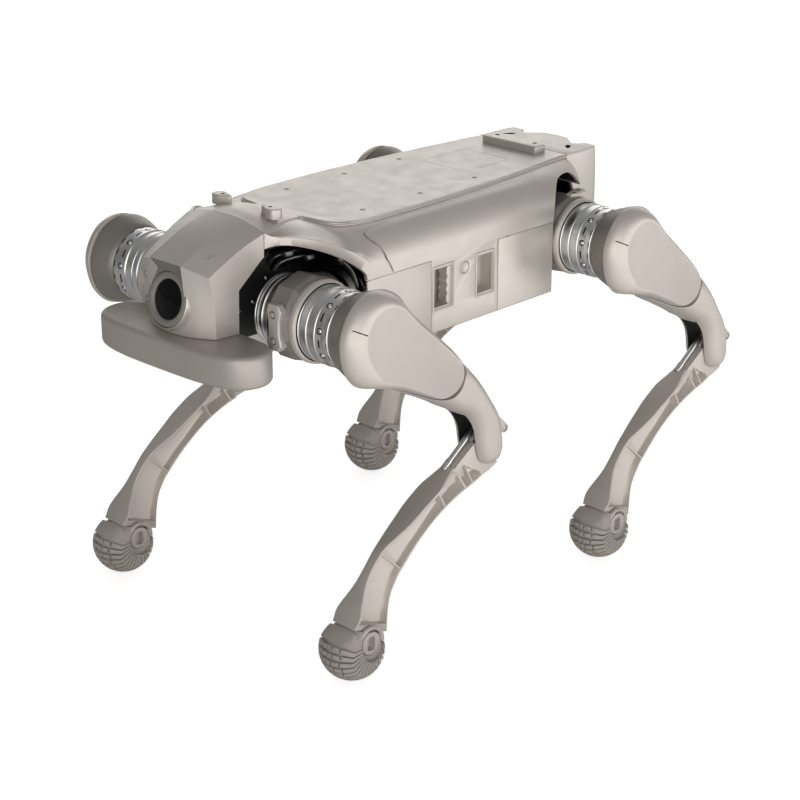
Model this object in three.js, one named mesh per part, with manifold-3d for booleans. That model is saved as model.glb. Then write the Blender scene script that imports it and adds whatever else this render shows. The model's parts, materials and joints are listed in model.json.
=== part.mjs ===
// Quadruped robot: a shell-covered trunk on four three-joint legs. Millimetres, +X forward, +Y left, +Z up.
import * as THREE from 'three';
import { mergeVertices } from 'three/addons/utils/BufferGeometryUtils.js';
import Module from 'manifold-3d';

const wasm = await Module();
wasm.setup();

// ---- driving dimensions ----
const GAP = 0.4; // air between two neighbouring pieces
const TRUNK_SHIFT = 39.1; // puts the finished robot's middle on the origin
const HIP_MID_X = -2.3; // middle of the front and rear hips
const HALF_WHEELBASE = 176.1;
const HIP_Z = 317.2; // height of both hip axes
const HIP_ROLL_Y = 62; // the axis each hip rolls about
const LEG_Y = 160; // plane the shank and foot lie in
const KNEE = [-144.8, -141.2]; // knee axis, from the hip axis
const BALL = [25.8, -287.2]; // centre of the foot, from the hip axis
const BALL_R = 30;
const HUB = [18.2, -280.6]; // hub the foot is moulded round
const LEVER = [-26.5, 9]; // crank pin from the hip axis, and lever pin from the knee axis

const HIP_MOTOR_R = 34.5;
const HIP_MOTOR_Y = [48, 142.6];
const ROLL_MOTOR_R = 33;
const KNEE_MOTOR_R = 29;
const FORK_Y = [147.5, 167.2]; // inner faces of the fork round the knee
const ROD_Y = [161.3, 166.3]; // plane of the push rod
const HEAD_Y = [151.5, 161]; // width of the shank's head in the fork
const AXLE_R = 4.6;
const EYE_R = 4.5;
const PIN_R = 2.2;
const PIN_HOLE_R = 2.9;

const FLANK_Y = 100;
const FLANK_X = [-140.5, 116];
const FLOOR_Z = 268;
const PARTING_Z = 340; // seam between the tray and the top cover
const DECK_Z = 386.3; // top of the flat top plate
const ROOF_Z = 383.4; // top of the roof under it
const WALL = 2.5;
const DOOR_X = [-60, 32];
const DOOR_Z = [268.8, 347];
const PACK_X = [-57, 29];
const GRIP_Z = [292.5, 329.5];
const FRONT_GRIP_X = [5, 28];
const REAR_GRIP_X = [-52, -31];
const BUTTON = [-13, 323];
const BUTTON_R = 5.7;
const HEAD_HALF = 50;
const NOSE_HALF = 43.5; // the nose narrows to this at its front
const HEAD_FLOOR_Z = 304.6;
const LENS = [263.4, 335.8];
const LENS_TILT = 13; // degrees the camera looks up
const LENS_R = 17.6;
const LENS_ROOM = 0.8; // air round the lens in its bore
const BEZEL_R = 24;
const SEAM_X = 193.3; // seam between the head cover and the panel behind it
const CAP_X = -210; // seam between the top plate and the rear cap
const BUMPER_Z = [273, 304.1];
const THROUGH = [100, 200]; // span that runs right through a left leg

// Side outline of the thigh frame, from the hip axis; the round at the hip is added by the motor cup.
const LIMB = [[31, 4], [26, 20], [12, 32], [-6, 35], [-24, 27], [-43.6, 8.2], [-68.7, -12.9],
  [-92.2, -34], [-113.8, -54.9], [-128.6, -70.9], [-143.7, -90.7], [-156.5, -110.2], [-161.6, -129.1],
  [-162.6, -146], [-157, -157], [-146, -160.6], [-135, -155], [-129.5, -141], [-126, -122.4],
  [-119.7, -110], [-110, -100.5], [-95.4, -92.7], [-81, -84], [-57.8, -71.5], [-32.7, -58], [-8, -36],
  [12, -31], [26, -17]];
// Outline of the motor cover where it meets the frame, and of its flat outer face; points correspond.
const COVER = [[44, 3], [39, 22], [25, 38], [4, 44], [-17, 37.5], [-31, 22.5], [-43.6, 10], [-68.7, -12],
  [-89, -31], [-98.5, -45], [-98.5, -60], [-88, -71.5], [-70, -73], [-45, -62], [-20, -50.5], [5, -43.5],
  [25, -37], [38.5, -21.5]];
const COVER_FACE = [[26, 3], [22.5, 17], [12, 28], [-3, 31], [-19, 24], [-31, 12.5], [-42, 2], [-65, -18],
  [-84, -35.5], [-94, -47], [-94, -59], [-84.5, -67.5], [-68, -68.8], [-43, -56], [-18, -43], [4, -34],
  [14, -24], [22, -11]];
// Shank stations: front edge x and z, rear edge x and z (all from the hip axis), half width across Y.
const SHANK = [
  [-122, -128, -158, -160, 6],
  [-112, -140, -150, -165.5, 6],
  [-103, -148.3, -139, -168.5, 6],
  [-90.7, -155.4, -121, -172, 8.5],
  [-72.7, -165.5, -104, -176, 12.5],
  [-55.1, -175.2, -84, -184.5, 12],
  [-38.8, -185.5, -68, -194, 10.5],
  [-23.6, -193.9, -54, -205, 8],
  [-9.1, -202.6, -42, -214, 5.5],
  [3.6, -215.3, -31, -223, 5],
  [12.8, -226.8, -22, -232, 6],
  [20.8, -238, -16, -243, 9.5],
  [26, -245.2, -13.5, -252, 12.5],
  [30.7, -254.1, -12, -262, 15.5],
  [36, -262, -8, -276, 14.5],
];
const POCKETS = [[3, 4], [4, 6], [6, 9], [9, 13]]; // stations each side pocket runs between

// ---- shape helpers ----
const PLANES = {
  xy: (u, v, w) => [u, v, w],
  xz: (u, v, w) => [u, w, v],
  yz: (u, v, w) => [w, u, v],
};

/** A solid from a three.js geometry, turned right side out. */
function solid(geometry) {
  const bare = geometry.clone();
  bare.deleteAttribute('normal');
  bare.deleteAttribute('uv');
  const merged = mergeVertices(bare, 1e-4);
  const at = merged.attributes.position.array;
  const faces = [];
  let volume = 0;
  for (let i = 0; i < merged.index.count; i += 3) {
    const [a, b, c] = [0, 1, 2].map((k) => merged.index.array[i + k]);
    if (a === b || b === c || a === c) {
      continue;
    }
    faces.push(a, b, c);
    const [p, q, r] = [a, b, c].map((v) => new THREE.Vector3().fromArray(at, v * 3));
    volume += p.dot(q.cross(r));
  }
  if (volume < 0) {
    faces.reverse();
  }
  return new wasm.Manifold(new wasm.Mesh({
    numProp: 3,
    vertProperties: new Float32Array(at),
    triVerts: new Uint32Array(faces),
  }));
}

/** A solid through rings of points; each ring is {at, points} in the named plane. */
function loft(rings, plane) {
  const put = PLANES[plane];
  const count = rings[0].points.length;
  const vertices = rings.flatMap((r) => r.points.flatMap(([u, v]) => put(u, v, r.at)));
  const faces = [];
  for (let k = 0; k + 1 < rings.length; k += 1) {
    for (let i = 0; i < count; i += 1) {
      const a = k * count + i;
      const b = k * count + (i + 1) % count;
      faces.push(a, b, b + count, a, b + count, a + count);
    }
  }
  const wind = Math.sign(THREE.ShapeUtils.area(rings[0].points.map(([u, v]) => new THREE.Vector2(u, v))));
  for (const [ring, base, turn] of [[rings[0], 0, -1], [rings.at(-1), (rings.length - 1) * count, 1]]) {
    const flat = ring.points.map(([u, v]) => new THREE.Vector2(u, v));
    for (const face of THREE.ShapeUtils.triangulateShape(flat, [])) {
      const area = THREE.ShapeUtils.area(face.map((i) => flat[i]));
      const ordered = Math.sign(area) === wind * turn ? face : [...face].reverse();
      faces.push(...ordered.map((i) => i + base));
    }
  }
  const geometry = new THREE.BufferGeometry();
  geometry.setAttribute('position', new THREE.Float32BufferAttribute(vertices, 3));
  geometry.setIndex(faces);
  return solid(geometry);
}

const prism = (points, plane, from, to) => loft([{ at: from, points }, { at: to, points }], plane);

function box([x0, x1], [y0, y1], [z0, z1]) {
  const geometry = new THREE.BoxGeometry(x1 - x0, y1 - y0, z1 - z0);
  geometry.translate((x0 + x1) / 2, (y0 + y1) / 2, (z0 + z1) / 2);
  return solid(geometry);
}

/** A turned solid: profile is [radius, distance along the axis]; at is the axis's other two coordinates. */
function turned(profile, axis, at, segments = 20) {
  const points = profile.map(([r, h]) => new THREE.Vector2(r, h));
  const geometry = new THREE.LatheGeometry(points, segments);
  if (axis === 'x') {
    geometry.rotateZ(-Math.PI / 2);
    geometry.translate(0, at[0], at[1]);
  }
  if (axis === 'y') {
    geometry.translate(at[0], 0, at[1]);
  }
  if (axis === 'z') {
    geometry.rotateX(Math.PI / 2);
    geometry.translate(at[0], at[1], 0);
  }
  return solid(geometry);
}

function rod(r, axis, [from, to], at, segments = 20) {
  return turned([[0, from], [r, from], [r, to], [0, to]], axis, at, segments);
}

function tube(inner, outer, axis, [from, to], at, segments = 20) {
  return turned([[inner, from], [outer, from], [outer, to], [inner, to], [inner, from]], axis, at, segments);
}

/** A smooth closed outline through the points. */
function smooth(points, perPoint) {
  const knots = points.map(([u, v]) => new THREE.Vector3(u, v, 0));
  const curve = new THREE.CatmullRomCurve3(knots, true, 'catmullrom', 0.5);
  return curve.getPoints(points.length * perPoint).slice(0, -1).map((p) => [p.x, p.y]);
}

/** The outline moved inwards by a distance, or outwards when it is negative. */
function inset(points, distance) {
  const turn = Math.sign(THREE.ShapeUtils.area(points.map(([u, v]) => new THREE.Vector2(u, v))));
  return points.map(([u, v], i) => {
    const [pu, pv] = points[(i + points.length - 1) % points.length];
    const [nu, nv] = points[(i + 1) % points.length];
    const before = new THREE.Vector2(u - pu, v - pv).normalize();
    const after = new THREE.Vector2(nu - u, nv - v).normalize();
    const along = before.clone().add(after).normalize();
    const reach = distance / Math.max(0.5, Math.abs(along.dot(before)));
    return [u - along.y * turn * reach, v + along.x * turn * reach];
  });
}

/** A bar with round ends between two points of the XZ plane. */
function link([ax, az], [bx, bz], radius, fromTo) {
  const angle = Math.atan2(bz - az, bx - ax);
  const points = [];
  for (let i = 0; i < 12; i += 1) {
    const turn = angle + Math.PI / 2 + (Math.PI * (i > 5 ? i - 1 : i)) / 5;
    const [cx, cz] = i > 5 ? [bx, bz] : [ax, az];
    points.push([cx + radius * Math.cos(turn), cz + radius * Math.sin(turn)]);
  }
  return prism(points, 'xz', ...fromTo);
}

/** Rings of one outline, each moved in by its own distance. */
const insetRings = (outline, levels) => levels.map(([at, d]) => ({ at, points: inset(outline, d) }));

const add = (pair, move) => [pair[0] + move[0], pair[1] + move[1]];
const mirrorY = (half) => [...half, ...half.slice().reverse().map(([y, z]) => [-y, z])];

// ---- one leg, built for the left side with the hip axis at x = 0, z = 0 ----
// Turned profiles give a radius and a distance along the part's own axis.

const ROLL_MOTOR_PROFILE = [[0, 95], [27, 95], [ROLL_MOTOR_R, 90], [ROLL_MOTOR_R, 51], [30, 48], [20, 48],
  [20, 45.4], [0, 45.4]];

/** Motor in the trunk that rolls the whole leg about X; inboard is +1 when the trunk lies towards +X. */
function hipRollMotor(inboard) {
  return turned(ROLL_MOTOR_PROFILE.map(([r, h]) => [r, h * inboard]), 'x', [HIP_ROLL_Y, 0]);
}

const COLLAR_PROFILE = [[30, 66], [36.5, 70], [38.6, 74], [38.6, 92], [36.8, 97], [30, 97], [30, 66]];
const COLLAR_SIDES = 12;
const RIM_R = 37;
const RIM_Y = [96, 105];
const FLANGE_R = 26;
const FLANGE_X = [40, 45];
const NECK = { x: [34, 42], y: [68, 86], z: [-20, 20] };
const MOTOR_ROOM = 0.9; // air round the motor in its collar

/** Faceted collar that carries the hip motor and bolts to the roll motor's flange. */
function hipBracket(inboard) {
  const spanX = (pair) => pair.map((x) => x * inboard).sort((a, b) => a - b);
  const collar = turned(COLLAR_PROFILE, 'y', [0, 0], COLLAR_SIDES);
  const rim = rod(RIM_R, 'y', RIM_Y, [0, 0]);
  const flange = rod(FLANGE_R, 'x', spanX(FLANGE_X), [HIP_ROLL_Y, 0]);
  const neck = box(spanX(NECK.x), NECK.y, NECK.z);
  const bore = rod(HIP_MOTOR_R + MOTOR_ROOM, 'y', [0, LEG_Y], [0, 0]);
  return collar.add(rim).add(flange).add(neck).subtract(bore);
}

function hipMotor() {
  const [inner, outer] = HIP_MOTOR_Y;
  const waist = [33, 63];
  return turned([[0, inner], [waist[0], inner], waist, [HIP_MOTOR_R, waist[1] + 1], [HIP_MOTOR_R, outer],
    [0, outer]], 'y', [0, 0], 24);
}

const LIMB_LEVELS = [[143, 2], [146, 0], [172.5, 0], [178, 4]]; // y, and how far the outline is drawn in
const CUP_PROFILE = [[0, 143], [35, 143], [42.6, 166], [0, 166]];
const CUP_ROOM = [[0, 146.4], [33, 146.4], [39.5, 170], [0, 170]];
const LIMB_WALL = 2.4;
const COVER_ROOM = 0.6;
const COVER_SEAT_Y = [166, 190];
const KNEE_ROOM_R = 50;

/** Structural half of the thigh: motor cup, hollow limb and the fork that straddles the knee. */
function thighFrame() {
  const limb = loft(insetRings(LIMB, LIMB_LEVELS), 'xz');
  const cup = turned(CUP_PROFILE, 'y', [0, 0]);
  const underCover = prism(inset(COVER, -COVER_ROOM), 'xz', ...COVER_SEAT_Y);
  const hollowCup = turned(CUP_ROOM, 'y', [0, 0]);
  const hollowLimb = prism(inset(LIMB, LIMB_WALL), 'xz', ...FORK_Y);
  const kneeRoom = rod(KNEE_ROOM_R, 'y', FORK_Y, KNEE);
  const axle = rod(AXLE_R, 'y', [FORK_Y[0] - 1, FORK_Y[1] + 1], KNEE, 16);
  const shell = limb.add(cup).subtract(underCover).subtract(hollowCup).subtract(hollowLimb);
  return shell.subtract(kneeRoom).add(axle);
}

// Distance along Y, and how far the outline has changed from COVER to COVER_FACE.
const DOME_LEVELS = [[166.4, 0], [171, 0.05], [176, 0.23], [180.3, 0.58], [182.5, 1]];
const DOME_ROOM_LEVELS = [[160, 0], [170, 0.08], [175, 0.36], [179, 0.8]];
const DOME_WALL = 2.6;

/** Domed cover over the knee motor, ending in a flat teardrop face. */
function thighCover() {
  const blend = (t) => COVER.map(([u, v], i) => [
    u + (COVER_FACE[i][0] - u) * t,
    v + (COVER_FACE[i][1] - v) * t,
  ]);
  const outer = loft(DOME_LEVELS.map(([at, t]) => ({ at, points: blend(t) })), 'xz');
  const inner = loft(DOME_ROOM_LEVELS.map(([at, t]) => ({ at, points: inset(blend(t), DOME_WALL) })), 'xz');
  return outer.subtract(inner);
}

const KNEE_MOTOR_PROFILE = [[0, 146.8], [26, 146.8], [KNEE_MOTOR_R, 149], [KNEE_MOTOR_R, 158.5], [25, 160.6],
  [0, 160.6]];

const kneeMotor = () => turned(KNEE_MOTOR_PROFILE, 'y', [0, 0]);

const CRANK_HUB_R = 9;
const CRANK_HUB_Y = [161, 170.5];
const CRANK_ARM_Y = [167, 170.5];
const CRANK_PIN_Y = [161.6, 168];

/** Arm on the knee motor's shaft; its pin drives the push rod. */
function kneeCrank() {
  const hub = rod(CRANK_HUB_R, 'y', CRANK_HUB_Y, [0, 0], 16);
  const arm = link([0, 0], LEVER, EYE_R, CRANK_ARM_Y);
  const pin = rod(PIN_R, 'y', CRANK_PIN_Y, LEVER, 12);
  return hub.add(arm).add(pin);
}

function pushRod() {
  const far = add(KNEE, LEVER);
  const bar = link(LEVER, far, EYE_R, ROD_Y);
  const [nearHole, farHole] = [LEVER, far].map((at) => rod(PIN_HOLE_R, 'y', THROUGH, at, 12));
  return bar.subtract(nearHole).subtract(farHole);
}

const REAR_SHARE = 0.9; // width of the shank's back, as a share of its front
const POCKET_SHARES = [0.24, 0.9]; // front and rear wall of a side pocket, as shares of the shank's depth
const POCKET_RIM = 1.1;
const WEB_HALF = 1.8;
const POCKET_REACH = 30; // deeper than the shank is wide
const KNEE_HEAD_R = 15;
const KNEE_CHEEK = [add(KNEE, [-14, 6]), add(KNEE, [14, 6]), [-112, -139], [-132, -166], [-158, -160]];
const LEVER_R = 6;
const HUB_R = 11;
const HUB_HALF = 17;
const STEM_TOP = [12, -262];
const STEM_R = 10;
const STEM_HALF = 5;
const FORK_SWEEP_R = 39; // reach of the fork as the knee turns
const FORK_SWEEP = [add(KNEE, [-45, -25]), add(KNEE, [60, 75]), add(KNEE, [-60, 75])];
const AXLE_ROOM = 0.5;

/** The shank's solid bar before its pockets are cut. */
function shankBar() {
  const ring = ([fx, fz, rx, rz, half]) => [
    [fx, LEG_Y + half, fz],
    [rx, LEG_Y + half * REAR_SHARE, rz],
    [rx, LEG_Y - half * REAR_SHARE, rz],
    [fx, LEG_Y - half, fz],
  ];
  const rings = SHANK.map(ring);
  const corners = 4;
  const faces = [];
  for (let k = 0; k + 1 < rings.length; k += 1) {
    for (let i = 0; i < corners; i += 1) {
      const a = k * corners + i;
      const b = k * corners + (i + 1) % corners;
      faces.push(a, b, b + corners, a, b + corners, a + corners);
    }
  }
  const last = (rings.length - 1) * corners;
  faces.push(2, 1, 0, 3, 2, 0, last, last + 1, last + 2, last, last + 2, last + 3);
  const geometry = new THREE.BufferGeometry();
  geometry.setAttribute('position', new THREE.Float32BufferAttribute(rings.flat(2), 3));
  geometry.setIndex(faces);
  return solid(geometry);
}

/** Ribbed lower leg with the knee head, the drive lever and the hub for the foot. */
function shank() {
  let body = shankBar();
  const across = ([fx, fz, rx, rz], share) => [fx + (rx - fx) * share, fz + (rz - fz) * share];
  for (const [from, to] of POCKETS) {
    const run = SHANK.slice(from, to + 1);
    const front = run.map((row) => across(row, POCKET_SHARES[0]));
    const rear = run.map((row) => across(row, POCKET_SHARES[1])).reverse();
    const outline = inset([...front, ...rear], POCKET_RIM);
    body = body.subtract(prism(outline, 'xz', LEG_Y + WEB_HALF, LEG_Y + POCKET_REACH));
    body = body.subtract(prism(outline, 'xz', LEG_Y - POCKET_REACH, LEG_Y - WEB_HALF));
  }
  const head = rod(KNEE_HEAD_R, 'y', HEAD_Y, KNEE, 16);
  const cheek = prism(KNEE_CHEEK, 'xz', ...HEAD_Y);
  const lever = link(KNEE, add(KNEE, LEVER), LEVER_R, HEAD_Y);
  const pin = rod(PIN_R, 'y', [HEAD_Y[1] - 1, ROD_Y[1] - GAP], add(KNEE, LEVER), 12);
  const hub = rod(HUB_R, 'y', [LEG_Y - HUB_HALF, LEG_Y + HUB_HALF], HUB, 12);
  const stem = link(STEM_TOP, HUB, STEM_R, [LEG_Y - STEM_HALF, LEG_Y + STEM_HALF]);
  const outside = rod(FORK_SWEEP_R, 'y', [HEAD_Y[1], THROUGH[1]], KNEE, 12)
    .intersect(prism(FORK_SWEEP, 'xz', ...THROUGH));
  const inside = rod(FORK_SWEEP_R, 'y', [THROUGH[0], HEAD_Y[0]], KNEE, 12);
  const axleHole = rod(AXLE_R + AXLE_ROOM, 'y', THROUGH, KNEE, 16);
  return body.subtract(outside).subtract(inside)
    .add(head).add(cheek).add(lever).add(pin).add(hub).add(stem)
    .subtract(axleHole);
}

const FOOT_PROFILE = [[0, -21], [20.5, -21], [27, -14.5], [BALL_R, -4], [BALL_R, 4], [27, 14.5], [20.5, 21],
  [0, 21]]; // radius, distance from the leg's plane
const ANKLE_CUT = [[60, -262.6], [37, -262.6], [-8.5, -276.9], [-40, -284], [-40, -230], [60, -230]];
const HUB_ROOM = 0.5;
const HUB_RECESS_R = 16;

/** Round rubber foot moulded round the hub, open above for the shank. */
function foot() {
  const ball = turned(FOOT_PROFILE.map(([r, y]) => [r, y + LEG_Y]), 'y', BALL, 18);
  const ankle = prism(ANKLE_CUT, 'xz', ...THROUGH);
  const hubRoom = rod(HUB_R + HUB_ROOM, 'y', THROUGH, HUB, 12);
  const stemHalf = STEM_HALF + GAP;
  const stemRoom = link(STEM_TOP, HUB, STEM_R + HUB_ROOM, [LEG_Y - stemHalf, LEG_Y + stemHalf]);
  const outerRecess = rod(HUB_RECESS_R, 'y', [LEG_Y + HUB_HALF, THROUGH[1]], HUB, 14);
  const innerRecess = rod(HUB_RECESS_R, 'y', [THROUGH[0], LEG_Y - HUB_HALF], HUB, 14);
  return ball.subtract(ankle).subtract(hubRoom).subtract(stemRoom)
    .subtract(outerRecess).subtract(innerRecess);
}

// ---- trunk ----

/** Half width of the flat deck along X; the roof's shoulder starts at its edge. */
const DECK_EDGE = [[CAP_X + GAP, 57], [-180, 60.5], [-115, 67.5], [-45, 72.5], [20, 74.5], [75, 74], [97, 72],
  [110, 67], [119, 59], [124, 48], [125.5, 34], [125.5, 0]];
const ROOF_REAR_X = -209.6;
// Roof stations between its ends: x, half width, half width at the crown, height of the crown.
const ROOF_STATIONS = [[-180, 93, 58, ROOF_Z], [-141, 100, 63, ROOF_Z], [-45, 100, 71, ROOF_Z],
  [75, 100, 72, ROOF_Z], [104, 100, 66, ROOF_Z], [125, 97, 46, ROOF_Z], [150, 84, 33, 385.5],
  [175, 68, 42, 386.5]];
const ROOF_REAR = [80, 54, ROOF_Z];
const ROOF_FRONT = [56, 46, 386];
const SHOULDER_FOOT_Z = 350;
const SHOULDER_TURNS = [0, 22.5, 45, 67.5, 90];
const ROOF_OPEN = 8; // how much deeper the hollow starts than the wall is thick

/** Rings of the rounded roof between two places on X; shrink moves them inwards for the hollow. */
function roofRings(shrink, rear, front) {
  const ring = ([x, half, inner, crown]) => {
    const shoulder = SHOULDER_TURNS.map((degrees) => {
      const turn = THREE.MathUtils.degToRad(degrees);
      const y = inner + (half - inner) * Math.cos(turn);
      const z = SHOULDER_FOOT_Z + (crown - SHOULDER_FOOT_Z) * Math.sin(turn);
      return [y - shrink, z - shrink];
    });
    return { at: x, points: mirrorY([[half - shrink, PARTING_Z - shrink * ROOF_OPEN], ...shoulder]) };
  };
  return [[rear, ...ROOF_REAR], ...ROOF_STATIONS, [front, ...ROOF_FRONT]].map(ring);
}

// Stations of the panel behind the head: x, half width, height at its edge, height in the middle.
const HEAD_TOP_STATIONS = [[126, 28, 386.5, 387], [146, 34.5, 390, 394.5], [160, 40, 391.5, 399],
  [177, 46, 391.5, 400.4], [SEAM_X - GAP, HEAD_HALF, 390, 398.6]];
const HEAD_TOP_DEPTH = 5;
const CUT_ABOVE = 30; // height of a cut that clears everything above the panel

/** Rings of the panel behind the head; with some growth they cut its place out of the roof. */
function headTopRings(grow) {
  const above = grow ? CUT_ABOVE : 0;
  return HEAD_TOP_STATIONS.map(([x, half, edge, middle]) => ({
    at: x,
    points: mirrorY([
      [half + grow, edge - HEAD_TOP_DEPTH - grow],
      [half + grow, edge + above],
      [half * 0.5, middle - 1 + above],
    ]),
  }));
}

const FRONT_ARCH = [[116.4, 250], [116.4, 341], [118, 347], [126, 354.5], [139, 364], [157, 373],
  [174, 378.4], [186, 378.6], [200, 374], [200, 250]];
const REAR_ARCH = [[-140.9, 250], [-140.9, 341], [-143.5, 357.5], [-152, 368.5], [-166, 375.5], [-190, 375],
  [-204, 362], [-215, 354], [-215, 250]];
const ARCH_SPAN = [-150, 150]; // right across the trunk
const ROOF_ROOM_X = [-206.5, 190];
const TAIL_OPENING = { x: [-215, -205], y: [-50, 50], z: [300, 375] };
const NOSE_OPENING = { x: [188, 200], y: [-47, 47], z: [300, 380] };
const PANEL_OPENING = { x: [125, 200], y: [-22, 22], z: [370, 400] };
const DOOR_CUT_Y = [96, 110];

const boxOf = ({ x, y, z }) => box(x, y, z);

function topCover() {
  const outer = loft(roofRings(0, ROOF_REAR_X, SEAM_X - GAP), 'yz');
  const inner = loft(roofRings(WALL, ...ROOF_ROOM_X), 'yz').add(boxOf(TAIL_OPENING)).add(boxOf(NOSE_OPENING));
  const doorRoom = box([DOOR_X[0] - GAP, DOOR_X[1] + GAP], DOOR_CUT_Y, [HEAD_FLOOR_Z, DOOR_Z[1] + GAP]);
  return outer.subtract(inner).subtract(doorRoom)
    .subtract(prism(FRONT_ARCH, 'xz', ...ARCH_SPAN))
    .subtract(prism(REAR_ARCH, 'xz', ...ARCH_SPAN))
    .subtract(loft(headTopRings(GAP), 'yz'))
    .subtract(boxOf(PANEL_OPENING));
}

/** Flat deck with a rounded lip, resting on the roof. */
function topPlate() {
  const outline = [...DECK_EDGE, ...DECK_EDGE.slice(0, -1).reverse().map(([x, y]) => [x, -y])];
  const levels = [[ROOF_Z + GAP, 0.6], [DECK_Z - 1.2, 0], [DECK_Z, 1.4]];
  return loft(insetRings(outline, levels), 'xy');
}

const headTop = () => loft(headTopRings(0), 'yz');

// Side outlines of the head cover, from the seam's foot over the slope and the brow down to the floor.
const CHEEK = [[SEAM_X, HEAD_FLOOR_Z], [SEAM_X, 390], [252, 361.6], [251.8, 361], [247, 338],
  [246, HEAD_FLOOR_Z]];
const BROW = [[SEAM_X, HEAD_FLOOR_Z], [SEAM_X, 397], [263.6, 370.2], [263, 363.8], [262.6, 341],
  [260, HEAD_FLOOR_Z]];
const NOSE = [[SEAM_X, HEAD_FLOOR_Z], [SEAM_X, 398.6], [263.6, 370.2], [263, 363.8], [262.6, 341],
  [261, HEAD_FLOOR_Z]];
const HEAD_PLACES = [[-1, CHEEK], [-0.47, BROW], [-0.12, NOSE], [0.12, NOSE], [0.47, BROW], [1, CHEEK]];
const HEAD_ROOM = [[SEAM_X, 307], [SEAM_X, 386], [241, 362], [241, 307]]; // side outline of the head's hollow
const HEAD_ROOM_HALF = 41;
const SEAM_OPENING = { x: [SEAM_X - 5, SEAM_X + 8], y: [-47.5, 47.5], z: [307, 382] };
const HIP_CUT = [[180, 300], [180, 368.4], [196.5, 368.4], [221.5, 344], [222, 300]];
const HIP_CUT_SPAN = [-60, 60];
const BARREL_PROFILE = [[0, -28], [28.5, -28], [28, -14], [25.6, -0.6], [0, -0.6]];
const SEAT_X = [-4.4, 1];
// Half of the pocket under the brow: its floor round the camera, then its mouth.
const POCKET = [[257.8, 16.4, 360.2], [262, 22, 342.3], [262.7, 22.6, 338.6], [267.1, 22.8, 376.2],
  [270, 22.6, 341], [272, 23, 337]];

/** Front cover of the head, its open sides cut away for the hips. */
function headCover() {
  const shape = loft(HEAD_PLACES.map(([share, points]) => ({ at: HEAD_HALF * share, points })), 'xz')
    .warp((vertex) => {
      const ahead = Math.min((vertex[0] - SEAM_X) / (CHEEK[2][0] - SEAM_X), 1);
      vertex[1] *= 1 - (1 - NOSE_HALF / HEAD_HALF) * ahead;
    });
  const hollow = prism(HEAD_ROOM, 'xz', -HEAD_ROOM_HALF, HEAD_ROOM_HALF).add(boxOf(SEAM_OPENING));
  const sideCut = prism(HIP_CUT, 'xz', ...HIP_CUT_SPAN);
  const underFloor = box([SEAM_X, 300], HIP_CUT_SPAN, [250, HEAD_FLOOR_Z]);
  const barrel = tilted(turned(BARREL_PROFILE, 'x', [0, 0], 28)).subtract(underFloor);
  const bore = tilted(rod(LENS_R + LENS_ROOM, 'x', [-60, 20], [0, 0], 24));
  const seat = tilted(rod(BEZEL_R + 0.5, 'x', SEAT_X, [0, 0], 28));
  const pocket = wasm.Manifold.hull(POCKET.flatMap(([x, y, z]) => [[x, y, z], [x, -y, z]]));
  return shape.subtract(hollow).subtract(sideCut).add(barrel).subtract(pocket).subtract(seat).subtract(bore);
}

/** Tips a solid built round the X axis up to the camera's line and moves it to the lens. */
function tilted(piece) {
  const geometry = toGeometry(piece);
  geometry.rotateY(THREE.MathUtils.degToRad(-LENS_TILT));
  geometry.translate(LENS[0], 0, LENS[1]);
  return solid(geometry);
}

const cameraBezel = () => tilted(tube(LENS_R + 0.5, BEZEL_R, 'x', [-4, 0], [0, 0], 28));

const LENS_PROFILE = [[0, -9], [LENS_R, -9], [LENS_R, -2.6], [12, -1.2], [0, -0.4]];

const cameraLens = () => tilted(turned(LENS_PROFILE, 'x', [0, 0]));

// Half of the bumper's outline from above, and its edge: height over the bottom, distance drawn in.
const BUMPER_HALF = [[216, 0], [216, 55], [218, 78], [226, 94], [240, 101], [256, 98], [269, 86], [276, 66],
  [277.5, 30]];
const BUMPER_FOOT = [[0, 5], [3.5, 0.8], [6.5, 0]];
const BUMPER_LIP = [[-4.5, 0], [-1.4, 1.1], [0, 3.8]];

function chinBumper() {
  const outline = [...BUMPER_HALF, ...BUMPER_HALF.slice(1).reverse().map(([x, y]) => [x, -y])];
  const levels = [
    ...BUMPER_FOOT.map(([up, d]) => [BUMPER_Z[0] + up, d]),
    ...BUMPER_LIP.map(([up, d]) => [BUMPER_Z[1] + up, d]),
  ];
  return loft(insetRings(outline, levels), 'xy');
}

const TRAY_CHAMFER = 2;
const TRAY_FLOOR = 3;
const TRAY_DOOR_Y = [95.4, 110];
const TRAY_PACK = { x: [PACK_X[0] - GAP, PACK_X[1] + GAP], y: [80, 97], z: [271.5, 300] };
const CUT_TOP_Z = 400;

/** Open-ended tray that closes the belly and both flanks. */
function lowerTray() {
  const profile = (y, z, top) => [[-y, top], [-y, z + TRAY_CHAMFER], [TRAY_CHAMFER - y, z],
    [y - TRAY_CHAMFER, z], [y, z + TRAY_CHAMFER], [y, top]];
  const outer = prism(profile(FLANK_Y, FLOOR_Z, PARTING_Z - GAP), 'yz', ...FLANK_X);
  const inner = prism(profile(FLANK_Y - WALL, FLOOR_Z + TRAY_FLOOR, CUT_TOP_Z), 'yz', FLANK_X[0] - 5,
    FLANK_X[1] + 5);
  const doorRoom = box([DOOR_X[0] - GAP, DOOR_X[1] + GAP], TRAY_DOOR_Y, [DOOR_Z[0] - GAP, CUT_TOP_Z]);
  return outer.subtract(inner).subtract(doorRoom).subtract(boxOf(TRAY_PACK));
}

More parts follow.
